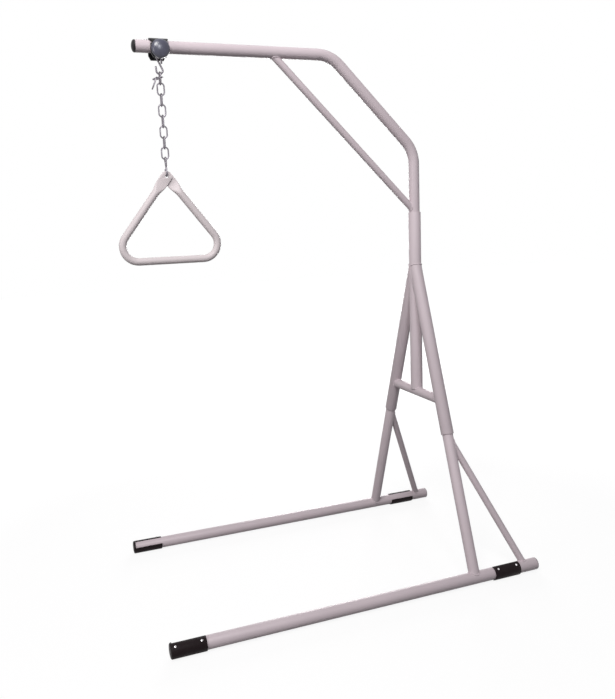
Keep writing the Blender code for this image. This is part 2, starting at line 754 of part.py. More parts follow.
def clamp_strap(material):
    """The bent steel strap over the boom, with tapered cheeks and notched bends."""
    left, right = HANG_X - STRAP_HALF, HANG_X + STRAP_HALF
    section = [((STRAP_BORE_R, -STRAP_DROP), (STRAP_BORE_R + STRAP_REAR_WALL, -STRAP_DROP))]
    half = BIG_SIDES // 2
    for k in range(half + 1):
        angle = math.pi * k / half
        inner_r, wall = (STRAP_BORE_R, STRAP_REAR_WALL) if 2 * k <= half else (CHEEK_IN, STRAP_FRONT_WALL)
        inner = inner_r * math.cos(angle), STRAP_BORE_R * math.sin(angle)
        outer = (inner_r + wall) * math.cos(angle), (STRAP_BORE_R + STRAP_TOP_WALL) * math.sin(angle)
        section.append((inner, outer))
    section.append(((-CHEEK_IN, -STRAP_DROP), (-CHEEK_OUT, -STRAP_DROP)))
    rings = []
    for (iy, iz), (oy, oz) in section:
        points = ((left, iy, iz), (left, oy, oz), (right, oy, oz), (right, iy, iz))
        rings.append([Vector((x, y, BOOM_Z + z)) for x, y, z in points])
    thing = solid("clamp_strap", rings, material)
    far = 2 * CHEEK_OUT
    bottom = BOOM_Z - STRAP_DROP
    corners = []
    for name, sign, foot, taper in (
        ("left", -1, STRAP_FOOT_LEFT, TAPER_LEFT),
        ("right", 1, STRAP_FOOT_RIGHT, TAPER_RIGHT),
    ):
        slope = (STRAP_HALF - foot) / taper
        inner = HANG_X + sign * (foot - slope * FIT), bottom - FIT
        outer = HANG_X + sign * (STRAP_HALF + slope * FIT), bottom + taper + FIT
        outline = [inner, outer, (outer[0], inner[1])]
        corners.append(prism_cutter(f"cut_strap_{name}", outline, -far, far, "y"))
    notches = []
    for name, x in (("left", left), ("right", right)):
        start = Vector((x, -far, BOOM_Z + NOTCH_Z))
        notches.append(rod_cutter(f"cut_notch_{name}", start, start + Y_AXIS * far, NOTCH_R, BIG_SIDES))
    cut(thing, *corners, *notches)
    return thing


def stud_start():
    """The point of the stud's axis in the boom's middle plane."""
    return Vector((HANG_X, 0, STUD_Z))


def nut_radius():
    """The nut's radius over its corners."""
    return NUT_FLATS / 2 / math.cos(math.radians(30))


def nut_pocket():
    """The hexagonal pocket in the strap's front cheek."""
    start = stud_start()
    depth = NUT_T + FIT
    grown = nut_radius() + FIT / math.cos(math.radians(30))
    ends = start - Y_AXIS * (CHEEK_OUT - depth), start - Y_AXIS * (CHEEK_OUT + depth)
    return rod_cutter("cut_nut_pocket", *ends, grown, 6, X_AXIS, 0)


def stud_hole():
    """The hole of the stud through the cheek's floor."""
    start = stud_start()
    ends = start - Y_AXIS * SHOE_BACK, start - Y_AXIS * (CHEEK_OUT + NUT_T)
    return rod_cutter("cut_stud_hole", *ends, STUD_R + SCREW_FIT, BIG_SIDES, X_AXIS)


def pin_hole():
    """The hole of the cross pin through both cheeks."""
    middle = Vector((HANG_X, 0, PIN_Z))
    reach = Y_AXIS * (CHEEK_OUT + PIN_R)
    return rod_cutter("cut_pin_hole", middle - reach, middle + reach, PIN_R + FIT, BIG_SIDES, X_AXIS)


def clamp_nut(material):
    """The hexagon nut in the cheek's pocket."""
    start = stud_start() - Y_AXIS * CHEEK_OUT
    first, second = frame_along(-Y_AXIS, X_AXIS)
    outer = []
    inner = []
    for height in (-NUT_T, 0):
        centre = start - Y_AXIS * height
        corners = placed(circle(nut_radius(), 6), centre, first, second)
        outer.append([])
        for k in range(6):
            flat = corners[k], corners[(k + 1) % 6]
            outer[-1] += [flat[0].lerp(flat[1], step / NUT_STEPS) for step in range(NUT_STEPS)]
        inner.append(placed(circle(STUD_BORE_R, 6 * NUT_STEPS), centre, first, second))
    return hollow("clamp_nut", outer, inner, material)


def clamp_pad(material):
    """The pressure shoe, hollowed to the boom's curve."""
    start = stud_start()
    ends = start - Y_AXIS * SHOE_FACE, start - Y_AXIS * SHOE_BACK
    first, second = frame_along(-Y_AXIS, X_AXIS)
    rings = [placed(circle(SHOE_R, BIG_SIDES), point, first, second) for point in ends]
    thing = solid("clamp_pad", rings, material)
    reach = X_AXIS * (STRAP_HALF + SHOE_R)
    middle = Vector((HANG_X, 0, BOOM_Z))
    boom = rod_cutter("cut_shoe_boom", middle - reach, middle + reach, MAIN_R + FIT, CUTTER_SIDES)
    depth = start - Y_AXIS * (SHOE_BACK - TIP_DEPTH)
    tip = rod_cutter("cut_shoe_tip", depth, depth - Y_AXIS * SHOE_BACK, TIP_R + FIT, BIG_SIDES, X_AXIS)
    cut(thing, boom, tip)
    return thing


def clamp_screw(material):
    """The stud between knob and shoe."""
    tip_end = SHOE_BACK - TIP_DEPTH + FIT
    shoulder = SHOE_BACK + FIT
    end = KNOB_BACK + KNOB_BORE_DEPTH - FIT
    profile = [(0, tip_end), (TIP_R, tip_end), (TIP_R, shoulder), (STUD_R, shoulder)]
    profile += [(STUD_R, end), (0, end)]
    return turned("clamp_screw", profile, stud_start(), -Y_AXIS, X_AXIS, BIG_SIDES, material)


def knob_ripple(index, k):
    """The depth of the fine ribs round the knob's rim."""
    return KNOB_RIB if index in KNOB_RIB_ROWS and k % 2 else 0


def clamp_knob(material):
    """The domed hand knob, hollow behind, with a boss round the stud."""
    cavity = KNOB_R - KNOB_WALL
    profile = [(0, KNOB_BORE_DEPTH), (STUD_R + FIT, KNOB_BORE_DEPTH), (STUD_R + FIT, 0), (KNOB_BOSS_R, 0)]
    profile += [(KNOB_BOSS_R, KNOB_RIM + KNOB_WALL), (cavity * 0.82, KNOB_RIM + KNOB_WALL)]
    profile += [(cavity, KNOB_RIM - KNOB_WALL), (cavity, 0), (KNOB_R - KNOB_RIB, 0)]
    profile += [(KNOB_R, KNOB_WALL / 3), (KNOB_R, KNOB_RIM)]
    for k in range(1, 5):
        angle = math.radians(90) * k / 5
        profile.append((KNOB_R * math.cos(angle), KNOB_RIM + KNOB_DOME * math.sin(angle)))
    profile.append((0, KNOB_RIM + KNOB_DOME))
    start = stud_start() - Y_AXIS * KNOB_BACK
    return turned("clamp_knob", profile, start, -Y_AXIS, X_AXIS, 2 * KNOB_RIBS, material, knob_ripple)


def clamp_pin(material):
    """The riveted cross pin that the S-hook hangs on."""
    rear = STRAP_BORE_R + STRAP_REAR_WALL + FIT
    front = -CHEEK_OUT - FIT
    profile = [(0, front - PIN_HEAD), (PIN_HEAD_R * 0.8, front - PIN_HEAD)]
    profile += [(PIN_HEAD_R, front - PIN_HEAD / 2), (PIN_HEAD_R, front), (PIN_R, front)]
    profile += [(PIN_R, rear), (PIN_HEAD_R, rear), (PIN_HEAD_R, rear + PIN_HEAD / 2)]
    profile += [(PIN_HEAD_R * 0.8, rear + PIN_HEAD), (0, rear + PIN_HEAD)]
    start = Vector((HANG_X, 0, PIN_Z))
    return turned("clamp_pin", profile, start, Y_AXIS, X_AXIS, SMALL_SIDES, material)


def hook_path():
    """The centre line of an S-hook from its top's wire centre, with directions."""
    top = (0, -HOOK_TOP_R)
    low = (0, HOOK_LOW_R - HOOK_HEIGHT)
    lean = math.acos((HOOK_TOP_R + HOOK_LOW_R) / (top[1] - low[1]))
    flare_r = (HOOK_LOW_TIP ** 2 + HOOK_FLARE ** 2) / (2 * HOOK_FLARE)
    flare = math.asin(HOOK_LOW_TIP / flare_r)
    path = [((HOOK_TOP_R, top[1] - HOOK_TOP_TIP), (0, 1))]
    path += arc(top, HOOK_TOP_R, 0, math.pi / 2, 4)
    path += arc(top, HOOK_TOP_R, math.pi / 2, 1.5 * math.pi - lean, 5)[1:]
    path += arc(low, HOOK_LOW_R, 0.5 * math.pi - lean, -math.pi / 2, 5)
    path += arc(low, HOOK_LOW_R, -math.pi / 2, -math.pi, 4)[1:]
    path += arc((-HOOK_LOW_R - flare_r, low[1]), flare_r, 0, flare, 3)[1:]
    return path


def s_hook(name, top, across, material):
    """An S-hook of round wire, its ends slightly rounded."""
    path = hook_path()
    rings = wire_rings(path, HOOK_WIRE_R, top, across, Z_AXIS)
    ends = []
    for ((a, b), (da, db)), step in ((path[0], -HOOK_WIRE_R / 2), (path[-1], HOOK_WIRE_R / 2)):
        tip = (a + da * step, b + db * step), (da, db)
        ends += wire_rings([tip], HOOK_WIRE_R * 0.6, top, across, Z_AXIS)
    return solid(name, [ends[0], *rings, ends[1]], material)


def chain_link(name, middle, across, along, material):
    """One chain link of round wire."""
    path = arc((0, LINK_HALF), LINK_END_R, 0, math.pi, 6)
    path += arc((0, -LINK_HALF), LINK_END_R, math.pi, 2 * math.pi, 6)
    return loop(name, wire_rings(path, LINK_WIRE_R, middle, across, along), material)


def spare_link_places():
    """Middle, cross and long direction of the two spare links at the chain's top."""
    first = Vector((HANG_X, 0, FIRST_LINK_Z))
    yaw, pitch = SPARE_1_YAW, SPARE_1_PITCH
    along_1 = Vector((-math.sin(yaw) * math.cos(pitch), -math.cos(yaw) * math.cos(pitch), -math.sin(pitch)))
    level = Vector((math.cos(yaw), -math.sin(yaw), 0))
    across_1 = level * math.cos(SPARE_1_ROLL) + along_1.cross(level) * math.sin(SPARE_1_ROLL)
    lean, nod = SPARE_2_LEAN, SPARE_2_NOD
    along_2 = Vector((-math.sin(lean), -math.sin(nod) * math.cos(lean), -math.cos(nod) * math.cos(lean)))
    level = along_2.cross(X_AXIS).normalized()
    across_2 = level * math.cos(SPARE_2_ROLL) + along_2.cross(level) * math.sin(SPARE_2_ROLL)
    return (first + Vector(SPARE_1_AT), across_1, along_1), (first + Vector(SPARE_2_AT), across_2, along_2)


def stadium(half_width, half_thick, sides):
    """A flattened circle: two half circles and two flats, as pairs."""
    flat = half_width - half_thick
    corner = half_thick / math.cos(math.pi / sides)
    points = []
    for k in range(sides):
        angle = 2 * math.pi * (k + 0.5) / sides
        shift = flat if math.cos(angle) > 0 else -flat
        points.append((shift + corner * math.cos(angle), corner * math.sin(angle)))
    return points


def grip_side_angle():
    """The angle of the grip's slanting sides from plumb."""
    run = GRIP_WIDTH / 2 - GRIP_R - GRIP_CORNER_R
    rise = GRIP_DROP - GRIP_CORNER_R
    return math.atan2(run, rise) + math.asin(GRIP_CORNER_R / math.hypot(run, rise))


def grip_stations():
    """Half of the grip's centre line from the lug's end to the bar: point, direction and flatness."""
    angle = grip_side_angle()
    down = Vector((math.sin(angle), 0, -math.cos(angle)))
    run = GRIP_WIDTH / 2 - GRIP_R - GRIP_CORNER_R
    centre = Vector((run, 0, GRIP_CORNER_R - GRIP_DROP))
    stations = [(down * -(LUG_TIP + LUG_HALF_T), down, 1.0), (down * LUG_FLAT, down, 1.0)]
    steps = 4
    for k in range(1, steps + 1):
        share = k / steps
        flatness = (1 + math.cos(math.pi * share)) / 2
        stations.append((down * (LUG_FLAT + LUG_TAPER * share), down, flatness))
    steps = 6
    for k in range(steps + 1):
        turn = angle + (-math.pi / 2 - angle) * k / steps
        spoke = Vector((math.cos(turn), 0, math.sin(turn)))
        stations.append((centre + spoke * GRIP_CORNER_R, Vector((math.sin(turn), 0, -math.cos(turn))), 0.0))
    return stations


def grip_rings(wall):
    """Rings of the grip's tube all round, shrunk by a wall, from the right lug to the left one."""
    top = Vector((HANG_X, 0, LUG_Z))
    right = grip_stations()
    left = []
    for point, direction, flatness in reversed(right):
        left.append((Vector((-point.x, 0, point.z)), Vector((direction.x, 0, -direction.z)), flatness))
    rings = []
    for sign, stations in ((1, right), (-1, left)):
        for point, direction, flatness in stations:
            half_t = GRIP_R + (LUG_HALF_T - GRIP_R) * flatness
            half_w = half_t + math.pi * (GRIP_R - half_t) / 2
            centre = top + point + Y_AXIS * sign * LUG_Y * flatness
            outline = stadium(half_w - wall, half_t - wall, SMALL_SIDES)
            rings.append(placed(outline, centre, direction.cross(Y_AXIS), Y_AXIS))
    return rings


def lug_end_cutter(name, sign):
    """Rounds the end of one lug: everything past an ellipse about the hole."""
    angle = sign * grip_side_angle()
    up = Vector((-math.sin(angle), 0, math.cos(angle)))
    across = Vector((math.cos(angle), 0, math.sin(angle)))
    middle = Vector((HANG_X, 0, LUG_Z))
    wide = LUG_HALF_W + LUG_TIP
    outline = [(wide, 0), (wide, wide), (-wide, wide), (-wide, 0)]
    steps = 8
    for k in range(steps + 1):
        turn = math.pi * (1 - k / steps)
        outline.append((LUG_TIP_HALF * math.cos(turn), LUG_TIP * math.sin(turn)))
    reach = GRIP_R
    low, high = (FIT / 4, reach) if sign > 0 else (-reach, -FIT / 4)
    rings = []
    for y in (low, high):
        rings.append([middle + across * a + up * b + Y_AXIS * y for a, b in outline])
    return make_cutter(solid(name, rings, None))


def trapeze_handle(material):
    """The hand grip: a bent tube whose ends are pressed flat, laid on each other and drilled."""
    thing = hollow("trapeze_handle", grip_rings(0), grip_rings(GRIP_WALL), material)
    middle = Vector((HANG_X, 0, LUG_Z))
    ends = middle - Y_AXIS * GRIP_D, middle + Y_AXIS * GRIP_D
    hole = rod_cutter("cut_lug_hole", *ends, LUG_HOLE_R, BIG_SIDES)
    cut(thing, lug_end_cutter("cut_right_lug", 1), lug_end_cutter("cut_left_lug", -1), hole)
    return thing


def empty(name, at, parent=None, parent_at=Vector()):
    """A named empty that carries other objects."""
    thing = bpy.data.objects.new(name, None)
    thing.empty_display_size = EMPTY_SIZE
    bpy.context.collection.objects.link(thing)
    thing.parent = parent
    thing.location = at - parent_at
    return thing


def pivot(thing, at, parent, parent_at):
    """Puts an object's origin on its joint's axis and hangs it on its parent."""
    thing.data.transform(Matrix.Translation(-at))
    thing.location = at - parent_at
    thing.parent = parent


def build_stand(paint, rubber, plastic, steel, spring_steel):
    """Everything that stands still."""
    ends = Z_AXIS * CROSS_Z, Z_AXIS * SOCKET_TOP_Z
    socket_outside = rod_cutter("cut_socket", *ends, SLEEVE_R + FIT, side=X_AXIS)
    ends = Vector((0, -RAIL_Y, CROSS_Z)), Vector((0, RAIL_Y, CROSS_Z))
    cross_outside = rod_cutter("cut_cross", *ends, CROSS_R + FIT)
    mast_middle = Z_AXIS * MAST_BUTTON_Z
    mast_hole = button_cutter("cut_mast_button", mast_middle)
    boom_mast_tube(paint, mast_hole)
    boom_brace(paint)
    boom_end_cap(plastic)
    boom_stop_screw(steel)
    mast_socket(paint, cross_outside, mast_hole)
    buttons = [(snap_button("mast_snap_button", mast_middle, steel), mast_middle)]
    button_spring("mast_button_spring", mast_middle, -Z_AXIS, spring_steel)
    sleeves = []
    for side, sign in NEAR_AND_FAR:
        sleeves.append(sleeve_cutter(side, sign))
        middle = leg_point(sign, LEG_BUTTON_Z)
        hole = button_cutter(f"cut_{side}_button", middle)
        rail_outside = rail_cutter(side, sign)
        post_outside = post_cutter(side, sign)
        leg_sleeve(side, sign, paint, socket_outside, hole)
        leg_post(side, sign, paint, rail_outside, hole)
        leg_brace(side, sign, paint, post_outside, rail_outside)
        buttons.append((snap_button(f"{side}_leg_snap_button", middle, steel), middle))
        button_spring(f"{side}_leg_button_spring", middle, leg_direction(sign), spring_steel)
        holes = {}
        for name, start in rivet_places(side, sign).items():
            holes[name] = rivet_cutter(name, start, sign)
            pad_rivet(name, start, sign, steel)
        rail(side, sign, paint, holes.values())
        front_boot(side, sign, rubber, [hole for name, hole in holes.items() if "boot" in name])
        rear_pad(side, sign, rubber, [hole for name, hole in holes.items() if "pad" in name])
        rear_plug(side, sign, plastic)
    cross_tube(paint, sleeves)
    return buttons


def build_clamp(strap_steel, plastic, steel, zinc):
    """The clamp with its screw, and its cross pin."""
    strap = clamp_strap(strap_steel)
    cut(strap, nut_pocket(), stud_hole(), pin_hole())
    return {
        "strap": strap,
        "nut": clamp_nut(steel),
        "pad": clamp_pad(zinc),
        "screw": clamp_screw(steel),
        "knob": clamp_knob(plastic),
        "pin": clamp_pin(steel),
    }


def build_chain(zinc):
    """Both S-hooks, the hanging links and the spare ones, from the top down."""
    things = [s_hook("upper_s_hook", Vector((HANG_X, 0, UPPER_HOOK_TOP)), X_AXIS, zinc)]
    pivots = [Vector((HANG_X, 0, PIN_Z))]
    seat = UPPER_HOOK_LOW
    for number in range(HANGING_LINKS):
        middle = Vector((HANG_X, 0, FIRST_LINK_Z - number * LINK_PITCH))
        across = Y_AXIS if number % 2 == 0 else X_AXIS
        things.append(chain_link(f"chain_link_{number + 1}", middle, across, Z_AXIS, zinc))
        pivots.append(Vector((HANG_X, 0, seat)))
        seat = middle.z - LINK_HALF - LINK_END_R
    things.append(s_hook("lower_s_hook", Vector((HANG_X, 0, LOWER_HOOK_TOP)), -Y_AXIS, zinc))
    pivots.append(Vector((HANG_X, 0, LOWER_HOOK_SEAT)))
    return things, pivots


def build_spare_links(zinc):
    """The two links left over, the first on the first hanging link and the second on the first."""
    things = []
    pivots = []
    for number, (middle, across, along) in enumerate(spare_link_places(), start=1):
        things.append(chain_link(f"spare_link_{number}", middle, across, along, zinc))
        pivots.append(middle - along * (LINK_HALF + LINK_END_R))
    return things, pivots


def hang(things, pivots, parent, parent_at):
    """Parents each piece to the one it hangs on."""
    for thing, at in zip(things, pivots):
        pivot(thing, at, parent, parent_at)
        parent, parent_at = thing, at
    return parent, parent_at


def main():
    clear_scene()
    paint = frame_paint()
    rubber = black_rubber()
    plastic = black_plastic()
    zinc = zinc_steel()
    steel = bright_steel()
    buttons = build_stand(paint, rubber, plastic, steel, zinc)
    clamp = build_clamp(black_steel(), plastic, steel, zinc)
    links, pivots = build_chain(zinc)
    grip = trapeze_handle(grip_paint())

    origin = empty("bed_trapeze", Vector())
    for button, middle in buttons:
        pivot(button, middle, origin, Vector())

    carriage_at = Vector((HANG_X, 0, BOOM_Z))
    carriage = empty("clamp_carriage", carriage_at, origin)
    for name in ("strap", "nut", "pin"):
        pivot(clamp[name], carriage_at, carriage, carriage_at)
    press_at = stud_start()
    press = empty("clamp_press", press_at, carriage, carriage_at)
    for name in ("pad", "screw", "knob"):
        pivot(clamp[name], press_at, press, press_at)

    last, last_at = hang(links, pivots, carriage, carriage_at)
    pivot(grip, Vector((HANG_X, 0, LOWER_HOOK_LOW)), last, last_at)
    hang(*build_spare_links(zinc), links[1], pivots[1])

    for thing in list(bpy.context.collection.objects):
        if thing.parent is None and thing != origin:
            thing.parent = origin
    origin.location = (-ORIGIN_X, 0, 0)


main()
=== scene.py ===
"""Looks of the bed trapeze: tubes, welds, rubber, clamp, chain and grip, with light and camera.

Sizes are in metres. Pieces are made with the mast on x = 0, y = 0 and then moved to the frame's
own place.
"""
import math

import bmesh
import bpy
from mathutils import Matrix, Vector


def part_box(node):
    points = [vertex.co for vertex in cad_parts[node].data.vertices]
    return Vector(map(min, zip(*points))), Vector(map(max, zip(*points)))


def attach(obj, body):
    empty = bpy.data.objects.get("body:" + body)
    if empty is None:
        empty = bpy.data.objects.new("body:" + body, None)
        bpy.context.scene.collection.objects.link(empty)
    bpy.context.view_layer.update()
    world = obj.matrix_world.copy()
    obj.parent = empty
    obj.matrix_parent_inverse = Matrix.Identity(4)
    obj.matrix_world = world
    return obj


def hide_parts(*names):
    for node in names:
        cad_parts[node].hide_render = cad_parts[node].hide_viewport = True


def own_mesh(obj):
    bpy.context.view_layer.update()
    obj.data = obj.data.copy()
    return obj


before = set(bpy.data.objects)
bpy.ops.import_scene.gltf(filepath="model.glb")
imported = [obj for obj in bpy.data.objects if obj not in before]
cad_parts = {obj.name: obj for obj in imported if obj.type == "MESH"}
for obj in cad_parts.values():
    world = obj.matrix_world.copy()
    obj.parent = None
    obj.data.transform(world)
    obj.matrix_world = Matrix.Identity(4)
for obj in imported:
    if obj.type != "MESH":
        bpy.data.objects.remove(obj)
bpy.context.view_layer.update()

# Clearances
FIT = 0.0003
SCREW_FIT = 0.0006

# Tubes: outer diameters and walls
MAIN_D = 0.0349
MAIN_WALL = 0.0017
SLEEVE_WALL = 0.0029
RAIL_D = 0.0381
RAIL_WALL = 0.0017
BRACE_D = 0.0222
BRACE_WALL = 0.0015
CROSS_D = 0.03175
CROSS_WALL = 0.0017
LIP = 0.0005
LIP_ROUNDING = ((1, 0), (0.3, 0.3), (0, 1))

# Floor stand
RAIL_Y = 0.349
RAIL_FRONT = 0.961
RAIL_REAR = 0.230
LEG_TOP_Z = 0.995
SLEEVE_END_Z = 0.450
POST_PLUG = 0.200
CROSS_Z = 0.556
SOCKET_UNDER_BRACE = 0.003
SOCKET_SADDLE = 0.006
LEG_BRACE_X = 0.190
LEG_BRACE_Z = 0.4436

# Rubber boots and pads; the boot's tip is rounded by shares of its radius and its end wall
PAD_T = 0.0025
PAD_CHAMFER = 0.0006
FOOT_FLAT = 0.0005
BOOT_LENGTH = 0.100
BOOT_END = 0.0065
BOOT_TIP_R = 0.62
BOOT_TIP_RISE = 0.62
BOOT_SHOULDER = 0.66
BOOT_ROUNDING = 0.8
REAR_PAD_X = 0.066
REAR_PAD_LENGTH = 0.095
PAD_OVER_TOP = math.radians(5)
PAD_INNER_RISE = math.radians(12)
PLUG_FLANGE = 0.0018
PLUG_DEPTH = 0.018
PLUG_WALL = 0.002

# The rear plug's crown: shares of its flange at the rim, and of the rail's radius and the flange
PLUG_EDGE = 0.4
PLUG_ROUND = 0.45
PLUG_CROWN = (0.7, 0.95)

# Pad rivets
RIVET_ANGLE = math.radians(54)
RIVET_INSET = 0.0136
RIVET_SHANK_R = 0.0018
RIVET_HEAD_R = 0.0034
RIVET_HEAD = 0.0013
RIVET_RIM = 0.15 * RIVET_HEAD

# Mast and boom
BOOM_Z = 1.660
BOOM_REACH = 0.8905
BEND_RUN = 0.290
BEND_R = 0.105
BOOM_BRACE_RUN = 0.487
CAP_DOME = 0.008
CAP_RIM = 0.002
CAP_DEPTH = 0.020
STOP_X = 0.8595
STOP_HEAD_R = 0.004
STOP_HEAD = 0.003
STOP_RIM = 0.35 * STOP_HEAD
STOP_ROUNDING = 0.6
RECESS_REACH = 0.55 * STOP_HEAD_R
RECESS_HALF = 0.13 * STOP_HEAD_R
RECESS_FLOOR = 0.45 * STOP_HEAD
STOP_SHANK_R = 0.002
STOP_REACH = 0.003
STOP_GAP = 0.0045

# Snap buttons
MAST_BUTTON_DROP = 0.050
LEG_BUTTON_RISE = 0.042
BUTTON_R = 0.004
BUTTON_PROUD = 0.0015
BUTTON_DOME = 0.001
BUTTON_FLANGE_R = 0.0053
BUTTON_FLANGE = 0.0012

# Clamp on the boom
STRAP_HALF = 0.026
STRAP_TOP_WALL = 0.005
STRAP_REAR_WALL = 0.004
STRAP_FRONT_WALL = 0.0055
STRAP_DROP = 0.0335
STRAP_FOOT_LEFT = 0.0195
STRAP_FOOT_RIGHT = 0.0175
TAPER_LEFT = 0.012
TAPER_RIGHT = 0.015
NOTCH_R = 0.0055
NOTCH_Z = 0.010
STRAP_EDGE = 0.0006
NUT_FLATS = 0.013
NUT_T = 0.0040
STUD_R = 0.004
STUD_DROP = 0.0125
THREAD_PITCH = 0.00125
THREAD_DEPTH = 0.0006
PRESS_TRAVEL = 0.0025
SHOE_R = 0.005
SHOE_T = 0.003
SHOE_FACE = 0.008
TIP_R = 0.0025
TIP_DEPTH = 0.002
PIN_R = 0.003
PIN_DROP = 0.0268
PIN_HEAD_R = 0.0048
PIN_HEAD = 0.0012
PIN_RIM = 0.25 * PIN_HEAD
HEAD_ROUNDING = 0.7

# How far the nut reaches at its back, corners and face, as shares of half its flats, and the
# height of the chamfers between them
NUT_BACK = 1.0
NUT_CORNER = 1.2
NUT_FACE = 1.04
NUT_BACK_EDGE = 0.0004
NUT_FACE_EDGE = 0.0006

# Clamp knob
KNOB_R = 0.0262
KNOB_GAP = 0.0022
KNOB_RIM = 0.008
KNOB_DOME = 0.012
KNOB_WALL = 0.003
KNOB_BOSS_R = 0.0095
KNOB_BORE_DEPTH = 0.011
KNOB_HOLLOW = 0.82
KNOB_RIBS = 16
KNOB_RIB = 0.0006

# S-hooks
HOOK_WIRE_R = 0.0027
HOOK_HEIGHT = 0.0531
HOOK_TOP_R = 0.007
HOOK_LOW_R = 0.0093
HOOK_TOP_TIP = 0.01675
HOOK_LOW_TIP = 0.0108
HOOK_FLARE = 0.0010
HOOK_ENDS = ((0.5, 0.0), (0.8, 0.25), (0.95, 0.6))

# Chain
LINK_WIRE_R = 0.0022
LINK_LENGTH = 0.039
LINK_WIDTH = 0.024
LINK_SEAM = 0.00022
SEAM_SPREAD = 1.3
HANGING_LINKS = 8

# Spare links: middle from the first link's middle, and the directions of their planes
SPARE_1_AT = (-0.0088, -0.0127, -0.0024)
SPARE_1_YAW = math.radians(41.3)
SPARE_1_PITCH = math.radians(19.5)
SPARE_1_ROLL = math.radians(-1.9)
SPARE_2_AT = (-0.0217, -0.0256, -0.0186)
SPARE_2_LEAN = math.radians(23.1)
SPARE_2_NOD = math.radians(2.2)
SPARE_2_ROLL = math.radians(4.3)

# Hand grip
GRIP_D = 0.0222
GRIP_WALL = 0.0017
GRIP_WIDTH = 0.305
GRIP_CORNER_R = 0.045
GRIP_DROP = 0.2447
LUG_SLIT = 0.0004
LUG_FLAT = 0.024
LUG_TAPER = 0.040
LUG_TIP = 0.013
LUG_TIP_HALF = 0.0165
LUG_HOLE_R = 0.005
LUG_HOLE_RISE = 0.0008

# Weld beads: a wave of the ripple is a size, a rate and a start, and an open bead's ends taper
WELD_R = 0.0021
WELD_STEP = 0.0006
WELD_RIPPLE = 0.0024
WELD_WAVES = ((0.10, 2 * math.pi, 0), (0.06, 0.37, 1), (0.04, 0.83, 0))
WELD_END = 0.35
WELD_END_RISE = 0.2
WELD_POINTS = 8

# Facets: sides all round, and steps along an arc, a dome or a thread's turn
TUBE_SIDES = 72
SMALL_SIDES = 40
GRIP_SIDES = 48
WIRE_SIDES = 20
WELD_SIDES = 10
CURVE_SIDES = 360
BEND_STEPS = 28
PAD_STEPS = 96
BOOT_STEPS = 8
STRAP_STEPS = 48
HOOK_STEPS = 36
FLARE_STEPS = 10
LINK_STEPS = 24
SIDE_STEPS = 10
LUG_STEPS = 18
LUG_END_STEPS = 32
RIVET_STEPS = 7
PLUG_STEPS = 5
CAP_STEPS = 16
HEAD_STEPS = 6
BUTTON_STEPS = 8
KNOB_STEPS = 20
THREAD_STEPS = 8

# Stage: the floor's colour, how white it looks near the object and where it turns fully white
FLOOR_COLOUR = (0.13, 0.127, 0.128)
FLOOR_GLOW = 0.87
FLOOR_FADE = (1.2, 3.0)
FLOOR_ROUGHNESS = 0.9
FLOOR_GLOSS = 0.1
FLOOR_HALF = 12
FLOOR_GAP = 0.0002
SKY_COLOUR = (0.96, 0.97, 1.0)
SKY_STRENGTH = 0.18

# Square soft boxes: name, place, the place aimed at, size, power and colour
BOOM_AIM = (0, 0, 1.9)
STAND_AIM = (0, 0, 1.1)
SOFT_BOXES = (
    ("key", (-1.5, -2.0, 3.5), BOOM_AIM, 1.1, 88, (1.0, 0.99, 0.98)),
    ("side", (-4.5, -2.0, 1.6), STAND_AIM, 1.6, 42, (1.0, 1.0, 1.0)),
    ("front", (-0.5, -3.0, 2.6), BOOM_AIM, 0.5, 24, (0.93, 0.95, 1.0)),
    ("back", (1.7, 4.1, 1.3), STAND_AIM, 2.2, 120, (1.0, 1.0, 1.0)),
    ("top", (-0.1, 0.5, 4.4), BOOM_AIM, 2.2, 12, (1.0, 1.0, 1.0)),
)

# Camera, and the photograph's frame in pixels
CAMERA_AT = (-1.2299, -2.1509, 1.1435)
CAMERA_AZIMUTH = math.radians(20.322)
CAMERA_DOWN = math.radians(9.107)
CAMERA_ROLL = math.radians(-2.28)
FOCAL_PX = 717.61
CENTRE_PX = (298.36, 339.91)
PHOTO_PX = (615, 699)
SENSOR_MM = 36.0
CLIP_END = 60

# Sizes that follow from those above
MAIN_R = MAIN_D / 2
SLEEVE_BORE_R = MAIN_R + FIT
SLEEVE_R = SLEEVE_BORE_R + SLEEVE_WALL
RAIL_R = RAIL_D / 2
BRACE_R = BRACE_D / 2
CROSS_R = CROSS_D / 2
GRIP_R = GRIP_D / 2
PAD_BORE_R = RAIL_R + FIT
PAD_R = PAD_BORE_R + PAD_T
RAIL_Z = PAD_R - FOOT_FLAT
FRONT_TIP_X = -RAIL_FRONT - FIT - BOOT_END
LEG_ANGLE = math.atan2(RAIL_Y, LEG_TOP_Z - RAIL_Z)
MAST_FOOT_Z = CROSS_Z + CROSS_R + FIT
SOCKET_TOP_Z = BOOM_Z - BOOM_BRACE_RUN - SOCKET_UNDER_BRACE
MAST_BUTTON_Z = SOCKET_TOP_Z - MAST_BUTTON_DROP
LEG_BUTTON_Z = SLEEVE_END_Z + LEG_BUTTON_RISE
HANG_X = -(STOP_X - STOP_HEAD_R - STOP_GAP - STRAP_HALF)
SHOE_BACK = MAIN_R + SHOE_T
CHEEK_IN = SHOE_BACK + PRESS_TRAVEL + FIT
CHEEK_OUT = CHEEK_IN + STRAP_FRONT_WALL
STRAP_BORE_R = MAIN_R + FIT
KNOB_BACK = CHEEK_OUT + KNOB_GAP
STUD_Z = BOOM_Z - STUD_DROP
PIN_Z = BOOM_Z - PIN_DROP
LINK_END_R = LINK_WIDTH / 2 - LINK_WIRE_R
LINK_HALF = LINK_LENGTH / 2 - LINK_WIRE_R - LINK_END_R
LINK_PITCH = 2 * (LINK_HALF + LINK_END_R) - 2 * LINK_WIRE_R - FIT
UPPER_HOOK_TOP = PIN_Z + PIN_R + FIT + HOOK_WIRE_R
